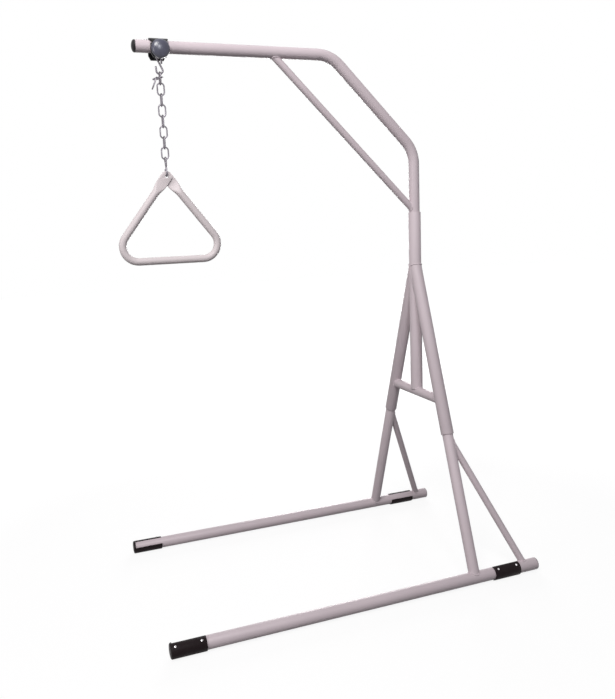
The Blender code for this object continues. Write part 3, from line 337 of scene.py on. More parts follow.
UPPER_HOOK_LOW = UPPER_HOOK_TOP - HOOK_HEIGHT
FIRST_LINK_Z = UPPER_HOOK_LOW + HOOK_WIRE_R + FIT + LINK_WIRE_R - LINK_HALF - LINK_END_R
LAST_LINK_Z = FIRST_LINK_Z - (HANGING_LINKS - 1) * LINK_PITCH
LOWER_HOOK_TOP = LAST_LINK_Z - LINK_HALF - LINK_END_R + LINK_WIRE_R + FIT + HOOK_WIRE_R
LOWER_HOOK_LOW = LOWER_HOOK_TOP - HOOK_HEIGHT
LUG_Z = LOWER_HOOK_LOW - LUG_HOLE_RISE
LUG_HALF_T = GRIP_WALL + LUG_SLIT / 2
LUG_Y = LUG_HALF_T + FIT / 2
LUG_HALF_W = LUG_HALF_T + math.pi * (GRIP_R - LUG_HALF_T) / 2

X_AXIS = Vector((1, 0, 0))
Y_AXIS = Vector((0, 1, 0))
Z_AXIS = Vector((0, 0, 1))
NEAR_AND_FAR = (("left", -1), ("right", 1))

SOCKET_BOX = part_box("mast_socket")
SHIFT = Vector(((SOCKET_BOX[0].x + SOCKET_BOX[1].x) / 2, 0, 0))


# Node helpers for the finishes

def add_node(tree, kind, inputs=None, **settings):
    """Adds a shader node with its settings and unlinked input values."""
    node = tree.nodes.new(kind)
    for key, value in settings.items():
        setattr(node, key, value)
    for key, value in (inputs or {}).items():
        node.inputs[key].default_value = value
    return node


def noise(tree, coordinates, scale, detail=2.0, roughness=0.5):
    """A noise texture in object coordinates."""
    values = {"Scale": scale, "Detail": detail, "Roughness": roughness}
    node = add_node(tree, "ShaderNodeTexNoise", values)
    tree.links.new(coordinates, node.inputs["Vector"])
    return node.outputs["Fac"]


def spread(tree, value, low, high, start=0.3, end=0.7):
    """Maps a noise value from start..end to low..high."""
    values = {"From Min": start, "From Max": end, "To Min": low, "To Max": high}
    node = add_node(tree, "ShaderNodeMapRange", values)
    tree.links.new(value, node.inputs["Value"])
    return node.outputs["Result"]


def mixed(tree, factor, first, second):
    """A colour between two colours or sockets."""
    node = add_node(tree, "ShaderNodeMix", data_type="RGBA")
    for key, value in (("A", first), ("B", second)):
        socket = [s for s in node.inputs if s.name == key and s.type == "RGBA"][0]
        if isinstance(value, tuple):
            socket.default_value = (*value, 1)
        else:
            tree.links.new(value, socket)
    tree.links.new(factor, node.inputs["Factor"])
    return [s for s in node.outputs if s.type == "RGBA"][0]


def combined(tree, operation, first, second):
    """Two values put together by a math node."""
    node = add_node(tree, "ShaderNodeMath", operation=operation)
    tree.links.new(first, node.inputs[0])
    tree.links.new(second, node.inputs[1])
    return node.outputs[0]


def bump(tree, height, distance, strength, under):
    """A bump normal from a height, on top of another one where there is one."""
    node = add_node(tree, "ShaderNodeBump", {"Distance": distance, "Strength": strength})
    tree.links.new(height, node.inputs["Height"])
    if under:
        tree.links.new(under, node.inputs["Normal"])
    return node.outputs["Normal"]


def new_look(name, colour, layers, rough, bumps, gloss=0.5, metal=0.0):
    """A finish from noises in object coordinates.

    A layer is a noise, the limits of its strength and the colour that it mixes in, rough is a
    noise with the limits of the roughness, and a bump is a noise, a distance and a strength.
    """
    material = bpy.data.materials.new(name)
    material.use_nodes = True
    tree = material.node_tree
    shader = tree.nodes["Principled BSDF"].inputs
    shader["Metallic"].default_value = metal
    shader["Specular IOR Level"].default_value = gloss
    at = add_node(tree, "ShaderNodeTexCoord").outputs["Object"]
    for grain, limits, other in layers:
        colour = mixed(tree, spread(tree, noise(tree, at, *grain), *limits), colour, other)
    tree.links.new(colour, shader["Base Color"])
    grain, low, high = rough
    tree.links.new(spread(tree, noise(tree, at, *grain), low, high), shader["Roughness"])
    normal = None
    for grain, distance, strength in bumps:
        normal = bump(tree, noise(tree, at, *grain), distance, strength, normal)
    tree.links.new(normal, shader["Normal"])
    return material


def scaled(colour, factor):
    """A colour made darker or lighter."""
    return tuple(channel * factor for channel in colour)


def powder_coat(name, colour, roughness):
    """Powder coat: faint orange peel, cloudy sheen and a slight change of tone along the tubes."""
    layers = (
        ((5.0, 3.0), (0.0, 1.0), scaled(colour, 1.03)),
        ((700.0, 1.0), (0.0, 1.0, 0.66, 0.74), scaled(colour, 0.90)),
    )
    rough = (60.0, 3.0), roughness - 0.04, roughness + 0.05
    bumps = ((420.0, 1.5), 0.00005, 0.55), ((90.0, 1.0), 0.00010, 0.30)
    return new_look(name, scaled(colour, 0.96), layers, rough, bumps, gloss=0.25)


def rubber_look(name, colour):
    """Moulded rubber: fine grain, dull patches and a little pale dust."""
    dusty = tuple(channel + 0.012 for channel in colour)
    layers = [((35.0, 4.0, 0.65), (0.0, 0.35, 0.45, 0.75), dusty)]
    bumps = [((1400.0, 2.0), 0.00004, 0.6)]
    return new_look(name, colour, layers, ((120.0, 2.0), 0.42, 0.62), bumps, gloss=0.11)


def moulded_look(name, colour, roughness, gloss):
    """Moulded plastic: near smooth, with faint flow marks."""
    layers = [((90.0, 2.0), (0.0, 1.0), scaled(colour, 1.15))]
    rough = (200.0, 2.0), roughness - 0.03, roughness + 0.05
    bumps = [((900.0, 1.0), 0.00002, 0.5)]
    return new_look(name, scaled(colour, 0.88), layers, rough, bumps, gloss)


def enamel_look(name, colour):
    """Black stoved enamel on bent steel, thinner and duller in patches."""
    layers = [((260.0, 5.0, 0.7), (0.0, 0.6, 0.62, 0.74), (0.035, 0.034, 0.038))]
    bumps = [((600.0, 2.0), 0.00005, 0.6)]
    return new_look(name, colour, layers, ((150.0, 3.0), 0.34, 0.52), bumps, gloss=0.18)


def steel_look(name, colour, roughness, dulled):
    """Plated steel: cloudy plating, dark tarnish and fine scuffs."""
    layers = (
        ((140.0, 3.0), (0.0, 1.0), scaled(colour, 1.12)),
        ((320.0, 4.0, 0.65), (0.0, dulled, 0.50, 0.72), scaled(colour, 0.45)),
    )
    rough = (420.0, 3.0), roughness - 0.06, roughness + 0.10
    bumps = [((1100.0, 3.0), 0.00004, 0.6)]
    return new_look(name, scaled(colour, 0.86), layers, rough, bumps, metal=1.0)


LOOKS = {
    "frame_paint": powder_coat("frame_powder_coat", (0.585, 0.500, 0.530), 0.40),
    "grip_paint": powder_coat("grip_powder_coat", (0.640, 0.572, 0.582), 0.38),
    "black_rubber": rubber_look("boot_rubber", (0.0095, 0.0050, 0.0060)),
    # The knob is black plastic. Its colour here is lighter and bluer than black, which paints in a
    # lavender sheen.
    "black_plastic": moulded_look("knob_plastic_painted_sheen", (0.038, 0.038, 0.066), 0.30, 0.70),
    "black_cap": moulded_look("cap_plastic", (0.009, 0.008, 0.009), 0.38, 0.20),
    "black_steel": enamel_look("clamp_enamel", (0.007, 0.007, 0.008)),
    "zinc_steel": steel_look("zinc_plate", (0.205, 0.190, 0.212), 0.40, 0.3),
    "bright_steel": steel_look("bright_steel", (0.55, 0.53, 0.54), 0.28, 0.5),
}


# Mesh helpers

def frame_along(direction, side):
    """Two unit vectors square to direction, the first as near to side as can be."""
    along = direction.normalized()
    first = (side - along * side.dot(along)).normalized()
    return first, along.cross(first)


def between(start, end, steps):
    """Evenly spaced values from start to end."""
    return [start + (end - start) * k / steps for k in range(steps + 1)]


def circle(radius, sides, offset=0.0):
    """Points of a circle as pairs, turned by a share of one side."""
    angles = [2 * math.pi * (k + offset) / sides for k in range(sides)]
    return [(radius * math.cos(angle), radius * math.sin(angle)) for angle in angles]


def dome(radius, low, high, steps, power=1.0):
    """A rounded head from its rim at low to its pole at high, as pairs for a profile."""
    angles = between(0, math.radians(90), steps)[:-1]
    points = [(radius * math.cos(a) ** power, low + (high - low) * math.sin(a)) for a in angles]
    return points + [(0, high)]


def placed(outline, centre, first, second):
    """An outline of pairs laid at centre along two directions."""
    return [centre + first * a + second * b for a, b in outline]


def band(bm, row, after):
    """A band of quads between two rings of vertices."""
    for k in range(len(row)):
        m = (k + 1) % len(row)
        bm.faces.new((row[k], row[m], after[m], after[k]))


def skin(bm, rings, closed=False):
    """Lays bands between rings of equally many points and returns the rings' vertices."""
    rows = [[bm.verts.new(point) for point in ring] for ring in rings]
    for row, after in zip(rows, rows[1:] + rows[:1] if closed else rows[1:]):
        band(bm, row, after)
    return rows


def added(name, data):
    """A new object in the scene."""
    thing = bpy.data.objects.new(name, data)
    bpy.context.scene.collection.objects.link(thing)
    return thing


def finished(bm, name):
    """Turns a bmesh into an object."""
    bmesh.ops.recalc_face_normals(bm, faces=bm.faces)
    mesh = bpy.data.meshes.new(name)
    bm.to_mesh(mesh)
    bm.free()
    return added(name, mesh)


def solid(name, rings):
    """A solid lofted through rings, with flat ends."""
    bm = bmesh.new()
    rows = skin(bm, rings)
    bm.faces.new(rows[0])
    bm.faces.new(rows[-1])
    return finished(bm, name)


def hollow(name, outer, inner):
    """A tube with a bore, lofted through outer and inner rings and open at both ends."""
    bm = bmesh.new()
    outside, inside = skin(bm, outer), skin(bm, inner)
    band(bm, outside[0], inside[0])
    band(bm, outside[-1], inside[-1])
    return finished(bm, name)


def loop(name, rings):
    """A closed ring of wire."""
    bm = bmesh.new()
    skin(bm, rings, closed=True)
    return finished(bm, name)


def turned(name, profile, start, direction, side, sides=SMALL_SIDES, reshape=None):
    """A solid of revolution: profile holds (radius, height) from pole to pole along direction."""
    first, second = frame_along(direction, side)
    along = direction.normalized()
    rings = []
    for index, (radius, height) in enumerate(profile[1:-1]):
        ring = []
        for k in range(sides):
            angle = 2 * math.pi * k / sides
            here = reshape(index, angle, radius) if reshape else radius
            spoke = first * math.cos(angle) + second * math.sin(angle)
            ring.append(start + along * height + spoke * here)
        rings.append(ring)
    bm = bmesh.new()
    poles = [bm.verts.new(start + along * profile[k][1]) for k in (0, -1)]
    rows = skin(bm, rings)
    for pole, row in zip(poles, (rows[0], rows[-1])):
        for k in range(sides):
            bm.faces.new((pole, row[k], row[(k + 1) % sides]))
    return finished(bm, name)


def rod(start, end, radius, sides=TUBE_SIDES, side=Z_AXIS, offset=0.0):
    """A plain rod that cuts a bore or a hole."""
    outline = circle(radius, sides, offset)
    first, second = frame_along(end - start, side)
    return solid("rod", [placed(outline, point, first, second) for point in (start, end)])


def prism(outline, low, high, across):
    """A prism whose outline of pairs lies in the plane square to across, x or y."""
    if across == "y":
        return solid("prism", [[Vector((a, y, b)) for a, b in outline] for y in (low, high)])
    return solid("prism", [[Vector((x, a, b)) for a, b in outline] for x in (low, high)])


def applied(thing):
    """Replaces an object's mesh by its modified mesh."""
    graph = bpy.context.evaluated_depsgraph_get()
    mesh = bpy.data.meshes.new_from_object(thing.evaluated_get(graph))
    thing.modifiers.clear()
    old = thing.data
    thing.data = mesh
    bpy.data.meshes.remove(old)
    return thing


def cut(thing, *cutters):
    """Cuts an object with others, which are then removed."""
    for cutter in cutters:
        modifier = thing.modifiers.new("cut", "BOOLEAN")
        modifier.operation = "DIFFERENCE"
        modifier.solver = "EXACT"
        modifier.object = cutter
    applied(thing)
    for cutter in cutters:
        bpy.data.objects.remove(cutter, do_unlink=True)


def softened(thing, width, segments=2, angle=50):
    """Rounds an object's edges that are sharper than an angle in degrees."""
    modifier = thing.modifiers.new("soften", "BEVEL")
    modifier.width = width
    modifier.segments = segments
    modifier.limit_method = "ANGLE"
    modifier.angle_limit = math.radians(angle)
    modifier.use_clamp_overlap = True
    return applied(thing)


def clad(thing, slot, body, *nodes):
    """Gives a piece its finish, fixes it to its body and hides the CAD nodes that it shows."""
    thing.data.materials.clear()
    thing.data.materials.append(LOOKS[slot])
    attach(thing, body)
    if nodes:
        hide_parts(*nodes)


def dressed(thing, slot, body, *nodes, sharp=38):
    """Moves a piece to its place, shades it and clads it."""
    thing.data.transform(Matrix.Translation(SHIFT))
    thing.data.shade_smooth()
    thing.data.set_sharp_from_angle(angle=math.radians(sharp))
    clad(thing, slot, body, *nodes)


def arc(centre, radius, start, end, steps):
    """Points of an arc with its directions of travel, as pairs of pairs."""
    turn = 1 if end > start else -1
    points = []
    for angle in between(start, end, steps):
        a, b = math.cos(angle), math.sin(angle)
        points.append(((centre[0] + radius * a, centre[1] + radius * b), (-turn * b, turn * a)))
    return points


def wire_rings(path, radii, middle, across, upward):
    """Rings of a wire that follows a flat path of points and directions, one radius for each."""
    normal = across.cross(upward)
    rings = []
    for ((a, b), (da, db)), radius in zip(path, radii):
        tangent = (across * da + upward * db).normalized()
        centre = middle + across * a + upward * b
        rings.append(placed(circle(radius, WIRE_SIDES), centre, normal.cross(tangent), normal))
    return rings


# Tubes and their welds

def leg_point(sign, z):
    """The point of a leg's axis at a height."""
    return Vector((0, sign * (LEG_TOP_Z - z) * math.tan(LEG_ANGLE), z))


def rail_point(sign, x):
    """The point of a rail's axis at an x."""
    return Vector((x, sign * RAIL_Y, RAIL_Z))


def first_hit(point, direction, axis_point, axis, radius):
    """How far along direction a line from point first meets a cylinder, or None."""
    axis = axis.normalized()
    across = direction - axis * direction.dot(axis)
    offset = point - axis_point
    offset -= axis * offset.dot(axis)
    a, b, c = across.dot(across), 2 * offset.dot(across), offset.dot(offset) - radius * radius
    under_root = b * b - 4 * a * c
    if a < 1e-12 or under_root < 0:
        return None
    roots = [(-b + sign * math.sqrt(under_root)) / (2 * a) for sign in (-1, 1)]
    ahead = [root for root in roots if root > 0]
    return min(ahead) if ahead else None


def tube_end(middle, end, outline, cylinder):
    """Where the lines of a tube's wall end: on another tube's outside, or square."""
    direction = (end - middle).normalized()
    reach = (end - middle).length
    ring = []
    for offset in outline:
        hit = first_hit(middle + offset, direction, *cylinder) if cylinder else None
        ring.append(middle + offset + direction * (reach if hit is None else min(hit, reach)))
    return ring


def coped_tube(name, start, end, radius, wall, side, start_on=None, end_on=None):
    """A straight tube whose ends are coped on other tubes, or square with a rounded lip."""
    middle = (start + end) / 2
    first, second = frame_along(end - start, side)
    along = (end - start).normalized()
    walls = []
    for way, r in ((1, radius), (-1, radius - wall)):
        rings = []
        for point, cylinder, inward in ((start, start_on, along), (end, end_on, -along)):
            if cylinder:
                full = placed(circle(r, TUBE_SIDES), Vector(), first, second)
                rings.append([tube_end(middle, point, full, cylinder)])
                continue
            lip = []
            for share, depth in LIP_ROUNDING:
                ring = placed(circle(r - way * LIP * share, TUBE_SIDES), Vector(), first, second)
                lip.append(tube_end(middle, point + inward * LIP * depth, ring, None))
            rings.append(lip)
        walls.append(rings[0] + rings[1][::-1])
    return hollow(name, *walls)


def even_points(points, closed):
    """Points laid evenly along a line through the given points."""
    line = points + points[:1] if closed else points
    lengths = [(b - a).length for a, b in zip(line, line[1:])]
    total = sum(lengths)
    count = max(WELD_POINTS, round(total / WELD_STEP))
    result = []
    index = 0
    passed = 0.0
    for k in range(count if closed else count + 1):
        goal = total * k / count
        while index < len(lengths) - 1 and passed + lengths[index] < goal:
            passed += lengths[index]
            index += 1
        share = (goal - passed) / max(lengths[index], 1e-9)
        result.append(line[index].lerp(line[index + 1], share))
    return result


def weld_bead(name, points, axis_point, axis, closed=True):
    """A rippled weld bead along a tube's coped end, painted over with the frame."""
    path = even_points(points, closed)
    last = len(path) - 1
    axis = axis.normalized()
    rings = []
    for k, point in enumerate(path):
        before = path[k - 1] if closed or k else point
        after = path[(k + 1) % len(path)] if closed or k < last else point
        tangent = (after - before).normalized()
        spoke = point - axis_point
        spoke -= axis * spoke.dot(axis)
        first = (spoke - tangent * spoke.dot(tangent)).normalized()
        phase = k * WELD_STEP / WELD_RIPPLE
        ripple = sum(size * math.sin(rate * phase + begin) for size, rate, begin in WELD_WAVES)
        radius = WELD_R * (1 + ripple)
        if not closed:
            radius *= min(1.0, WELD_END + WELD_END_RISE * min(k, last - k))
        rings.append(placed(circle(radius, WELD_SIDES), point, first, tangent.cross(first)))
    bead = loop(name, rings) if closed else solid(name, rings)
    dressed(bead, "frame_paint", "stand", sharp=60)


def weld_round(name, start, end, radius, cylinder):
    """The bead at the coped end of the tube from start to end."""
    middle = (start + end) / 2
    side = X_AXIS if abs((end - start).normalized().x) < 0.9 else Y_AXIS
    outline = placed(circle(radius, CURVE_SIDES), Vector(), *frame_along(end - start, side))
    weld_bead(name, tube_end(middle, end, outline, cylinder), middle, end - start)


def leg_cylinder(sign, radius):
    """The outside of a leg's post or sleeve as an axis point, an axis and a radius."""
    top = leg_point(sign, LEG_TOP_Z)
    return top, leg_point(sign, 0) - top, radius + FIT


def stand_tube(node, start, end, radius, wall, side, on=(None, None), welds=(), hole=None):
    """A painted tube of the stand: coped on other tubes, drilled for a button and welded."""
    thing = coped_tube(f"{node}_look", start, end, radius, wall, side, *on)
    if hole is not None:
        cut(thing, button_hole(hole))
    dressed(thing, "frame_paint", "stand", node)
    for bead, far, near, cylinder in zip(welds, (end, start), (start, end), on):
        if bead:
            weld_round(bead, far, near, radius, cylinder)


def bent_path(corners, radius, steps):
    """A path in the XZ plane through corners, each rounded by an arc: points with directions."""
    path = [(corners[0], (corners[1] - corners[0]).normalized())]
    for before, corner, after in zip(corners, corners[1:], corners[2:]):
        come = (corner - before).normalized()
        leave = (after - corner).normalized()
        turn = come.angle(leave)
        inward = (leave - come * leave.dot(come)).normalized()
        back = radius * math.tan(turn / 2)
        centre = corner - come * back + inward * radius
        for angle in between(0, turn, steps):
            point = centre - inward * radius * math.cos(angle) + come * radius * math.sin(angle)
            path.append((point, come * math.cos(angle) + inward * math.sin(angle)))
    path.append((corners[-1], (corners[-1] - corners[-2]).normalized()))
    return path


def button_hole(middle):
    """The hole of a snap button through a tube and its sleeve."""
    start = middle + X_AXIS * (MAIN_R - MAIN_WALL) / 2
    return rod(start, middle + X_AXIS * (SLEEVE_R + BUTTON_R), BUTTON_R + FIT, SMALL_SIDES)


def make_boom_mast():
    """One tube: level boom, two bends and the mast."""
    corners = [
        Vector((-BOOM_REACH, 0, BOOM_Z)),
        Vector((-BEND_RUN, 0, BOOM_Z)),
        Vector((0, 0, BOOM_Z - BEND_RUN)),
        Vector((0, 0, MAST_FOOT_Z)),
    ]
    path = bent_path(corners, BEND_R, BEND_STEPS)
    walls = []
    for radius in (MAIN_R, MAIN_R - MAIN_WALL):
        outline = circle(radius, TUBE_SIDES)
        walls.append([placed(outline, point, Y_AXIS.cross(way), Y_AXIS) for point, way in path])
    thing = hollow("boom_mast_tube_look", *walls)
    cut(thing, button_hole(Z_AXIS * MAST_BUTTON_Z))
    dressed(thing, "frame_paint", "stand", "boom_mast_tube")


def make_boom_brace():
    """The slanting tube under the boom with its two welds."""
    start = Vector((-BOOM_BRACE_RUN, 0, BOOM_Z))
    end = Vector((0, 0, BOOM_Z - BOOM_BRACE_RUN))
    on = (start, X_AXIS, MAIN_R + FIT), (end, Z_AXIS, MAIN_R + FIT)
    welds = "weld_brace_boom", "weld_brace_mast"
    stand_tube("boom_brace", start, end, BRACE_R, BRACE_WALL, Y_AXIS, on, welds)


def make_socket():
    """The sleeve that takes the mast, its saddle on the cross tube and the two weld runs there."""
    start = Vector((0, 0, CROSS_Z + CROSS_R - SOCKET_SADDLE))
    end = Vector((0, 0, SOCKET_TOP_Z))
    cross = Vector((0, 0, CROSS_Z)), Y_AXIS, CROSS_R + FIT
    hole = Z_AXIS * MAST_BUTTON_Z
    stand_tube("mast_socket", start, end, SLEEVE_R, SLEEVE_WALL, X_AXIS, (cross, None), hole=hole)
    middle = (start + end) / 2
    outline = placed(circle(SLEEVE_R, CURVE_SIDES), Vector(), Y_AXIS, X_AXIS)
    ring = tube_end(middle, start, outline, cross)
    quarter = CURVE_SIDES // 4
    for name, low in (("far", -quarter), ("near", quarter)):
        run = [ring[k % CURVE_SIDES] for k in range(low, low + 2 * quarter)]
        touching = [point for point in run if abs(point.x) < CROSS_R]
        weld_bead(f"weld_socket_{name}", touching, middle, Z_AXIS, closed=False)


def make_cross_tube():
    """The level tube between the leg sleeves with its welds."""
    stand_tube(
        "cross_tube", leg_point(-1, CROSS_Z), leg_point(1, CROSS_Z), CROSS_R, CROSS_WALL, Z_AXIS,
        (leg_cylinder(-1, SLEEVE_R), leg_cylinder(1, SLEEVE_R)),
        ("weld_cross_left", "weld_cross_right"),
    )


def make_leg(side, sign):
    """One leg with its welds, sleeve, post and brace, and the floor rail under it."""
    socket = Vector(), Z_AXIS, SLEEVE_R + FIT
    post = leg_cylinder(sign, MAIN_R)
    rail = rail_point(sign, 0), X_AXIS, RAIL_R + FIT
    button = leg_point(sign, LEG_BUTTON_Z)
    stand_tube(
        f"{side}_leg_sleeve", leg_point(sign, SLEEVE_END_Z), leg_point(sign, LEG_TOP_Z),
        SLEEVE_R, SLEEVE_WALL, X_AXIS, (None, socket), (None, f"weld_{side}_sleeve"), button,
    )
    stand_tube(
        f"{side}_leg_post", leg_point(sign, SLEEVE_END_Z + POST_PLUG), rail_point(sign, 0),
        MAIN_R, MAIN_WALL, X_AXIS, (None, rail), (None, f"weld_{side}_post"), button,
    )
    stand_tube(
        f"{side}_leg_brace", leg_point(sign, LEG_BRACE_Z), rail_point(sign, LEG_BRACE_X),
        BRACE_R, BRACE_WALL, Y_AXIS, (post, rail),
        (f"weld_{side}_brace_post", f"weld_{side}_brace_rail"),
    )
    ends = rail_point(sign, -RAIL_FRONT), rail_point(sign, RAIL_REAR)
    stand_tube(f"{side}_rail", *ends, RAIL_R, RAIL_WALL, Y_AXIS)


# Rubber, plugs, rivets and buttons

def pad_point(sign, x, radius, angle):
    """A point on a pad, flat on the floor. The angle rises from the outer side."""
    y = sign * (RAIL_Y + radius * math.cos(angle))
    return Vector((x, y, max(RAIL_Z + radius * math.sin(angle), 0)))


def make_rear_pad(side, sign):
    """The C-shaped rubber pad under a rail's rear part."""
    low, high = REAR_PAD_X, REAR_PAD_X + REAR_PAD_LENGTH
    section = [(PAD_BORE_R, low), (PAD_R, low), (PAD_R, high), (PAD_BORE_R, high)]
    start, end = math.radians(90) + PAD_OVER_TOP, -math.radians(180) - PAD_INNER_RISE
    rings = []
    for angle in between(start, end, PAD_STEPS):
        rings.append([pad_point(sign, x, radius, angle) for radius, x in section])
    thing = softened(solid(f"{side}_rear_pad_look", rings), PAD_CHAMFER, segments=3)
    dressed(thing, "black_rubber", "stand", f"{side}_rear_pad")


def make_front_boot(side, sign):
    """The rubber boot on a rail's front end: a full end wall and a C-shaped skirt."""
    tip, back = FRONT_TIP_X, FRONT_TIP_X + BOOT_LENGTH
    stations = []
    for angle in between(0, math.radians(90), BOOT_STEPS)[:-1]:
        share = BOOT_TIP_R + (1 - BOOT_TIP_R) * math.sin(angle) ** BOOT_ROUNDING
        stations.append((PAD_R * share, tip + BOOT_END * BOOT_TIP_RISE * (1 - math.cos(angle))))
    stations += [(PAD_R, tip + BOOT_END * BOOT_SHOULDER), (PAD_R, back)]
    turn = 2 * math.pi / PAD_STEPS
    rings = []
    for radius, x in stations:
        rings.append([pad_point(sign, x, radius, turn * (k + 0.5)) for k in range(PAD_STEPS)])
    thing = solid(f"{side}_front_boot_look", rings)
    face, past = -RAIL_FRONT - FIT, back + PAD_T
    bore = rod(rail_point(sign, face), rail_point(sign, past), PAD_BORE_R, TUBE_SIDES, Y_AXIS)
    far = 2 * PAD_R
    start, end = math.radians(90) + PAD_OVER_TOP, math.radians(180) - PAD_INNER_RISE
    gap = [(sign * RAIL_Y, RAIL_Z)]
    for angle in between(start, end, 3):
        gap.append((sign * (RAIL_Y + far * math.cos(angle)), RAIL_Z + far * math.sin(angle)))
    cut(thing, bore, prism(gap, face, past, "x"))
    softened(thing, PAD_CHAMFER)
    dressed(thing, "black_rubber", "stand", f"{side}_front_boot")


def make_rivets(side, sign):
    """The domed rivets of one rail's boot and pad."""
    out = Vector((0, sign * math.cos(RIVET_ANGLE), math.sin(RIVET_ANGLE)))
    seat = PAD_R + FIT
    profile = [(0, RAIL_R), (RIVET_SHANK_R, RAIL_R), (RIVET_SHANK_R, seat), (RIVET_HEAD_R, seat)]
    profile += dome(RIVET_HEAD_R, seat + RIVET_RIM, seat + RIVET_HEAD, RIVET_STEPS)
    pads = ("boot", FRONT_TIP_X, BOOT_LENGTH), ("pad", REAR_PAD_X, REAR_PAD_LENGTH)
    for pad, low, length in pads:
        for number, x in ((1, low + RIVET_INSET), (2, low + length - RIVET_INSET)):
            node = f"{side}_{pad}_rivet_{number}"
            thing = turned(f"{node}_look", profile, rail_point(sign, x), out, X_AXIS)
            dressed(thing, "bright_steel", "stand", node)


def plug_stub(bore, depth, floor):
    """The hollow part of a plug, which sits in a tube's bore, as pairs for a profile."""
    outer, inner = bore - FIT, bore - FIT - PLUG_WALL
    inside = [(0, FIT - floor), (inner, FIT - floor), (inner, FIT - depth)]
    return inside + [(outer, FIT - depth), (outer, FIT)]


def make_rear_plug(side, sign):
    """The plug in a rail's rear end, slightly crowned."""
    profile = plug_stub(RAIL_R - RAIL_WALL, PLUG_DEPTH, PLUG_WALL / 2) + [(RAIL_R - FIT, FIT)]
    for angle in between(0, math.radians(90), PLUG_STEPS):
        radius = RAIL_R - FIT - PLUG_FLANGE * (1 - math.cos(angle))
        profile.append((radius, FIT + PLUG_FLANGE * (PLUG_EDGE + PLUG_ROUND * math.sin(angle))))
    crown_r, crown = PLUG_CROWN
    profile += [(RAIL_R * crown_r, FIT + PLUG_FLANGE * crown), (0, FIT + PLUG_FLANGE)]
    start = rail_point(sign, RAIL_REAR)
    thing = turned(f"{side}_rear_plug_look", profile, start, X_AXIS, Y_AXIS, TUBE_SIDES)
    dressed(thing, "black_cap", "stand", f"{side}_rear_plug")


def make_end_cap():
    """The domed plug in the boom's free end."""
    profile = plug_stub(MAIN_R - MAIN_WALL, CAP_DEPTH, CAP_DEPTH / 4)
    profile += [(MAIN_R - LIP / 2, FIT), (MAIN_R, FIT + LIP / 2)]
    profile += dome(MAIN_R, FIT + CAP_RIM, FIT + CAP_RIM + CAP_DOME, CAP_STEPS)
    start = Vector((-BOOM_REACH, 0, BOOM_Z))
    thing = turned("boom_end_cap_look", profile, start, -X_AXIS, Y_AXIS, TUBE_SIDES)
    dressed(thing, "black_cap", "stand", "boom_end_cap")


def make_stop_screw():
    """The pan-head screw on the boom, with a cross recess."""
    seat = MAIN_R + FIT
    reach = MAIN_R - MAIN_WALL - STOP_REACH
    profile = [(0, reach), (STOP_SHANK_R, reach), (STOP_SHANK_R, seat), (STOP_HEAD_R, seat)]
    top = seat + STOP_HEAD
    profile += dome(STOP_HEAD_R, seat + STOP_RIM, top, HEAD_STEPS, STOP_ROUNDING)
    start = Vector((-STOP_X, 0, BOOM_Z))
    thing = turned("boom_stop_screw_look", profile, start, Z_AXIS, X_AXIS)
    low, high = BOOM_Z + seat + RECESS_FLOOR, BOOM_Z + seat + STOP_HEAD * 2
    recess = []
    for a, b in ((RECESS_REACH, RECESS_HALF), (RECESS_HALF, RECESS_REACH)):
        left, right = -STOP_X - a, -STOP_X + a
        recess.append(prism([(left, low), (right, low), (right, high), (left, high)], -b, b, "y"))
    cut(thing, *recess)
    dressed(thing, "bright_steel", "stand", "boom_stop_screw")


def make_button(name, middle):
    """A snap button with its domed end."""
    bore = MAIN_R - MAIN_WALL
    shoulder = bore - BUTTON_FLANGE_R ** 2 / (2 * bore) - 2 * FIT
    back = shoulder - BUTTON_FLANGE
    top = SLEEVE_R + BUTTON_PROUD
    profile = [(0, back), (BUTTON_FLANGE_R, back)]
    profile += [(BUTTON_FLANGE_R, shoulder), (BUTTON_R, shoulder)]
    profile += dome(BUTTON_R, top - BUTTON_DOME, top, BUTTON_STEPS, HEAD_ROUNDING)
    thing = turned(f"{name}_snap_button_look", profile, middle, X_AXIS, Y_AXIS)
    dressed(thing, "bright_steel", f"{name}_button", f"{name}_snap_button")


def make_spring(name):
    """The leaf spring behind a snap button, copied from its CAD node's mesh."""
    node = f"{name}_button_spring"
    thing = added(f"{node}_look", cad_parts[node].data.copy())
    clad(thing, "zinc_steel", "stand", node)
    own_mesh(thing)


def clamp_point(z, y=0.0):
    """A point of the upright plane across the boom, through the clamp's middle."""
    return Vector((HANG_X, y, z))


# Clamp

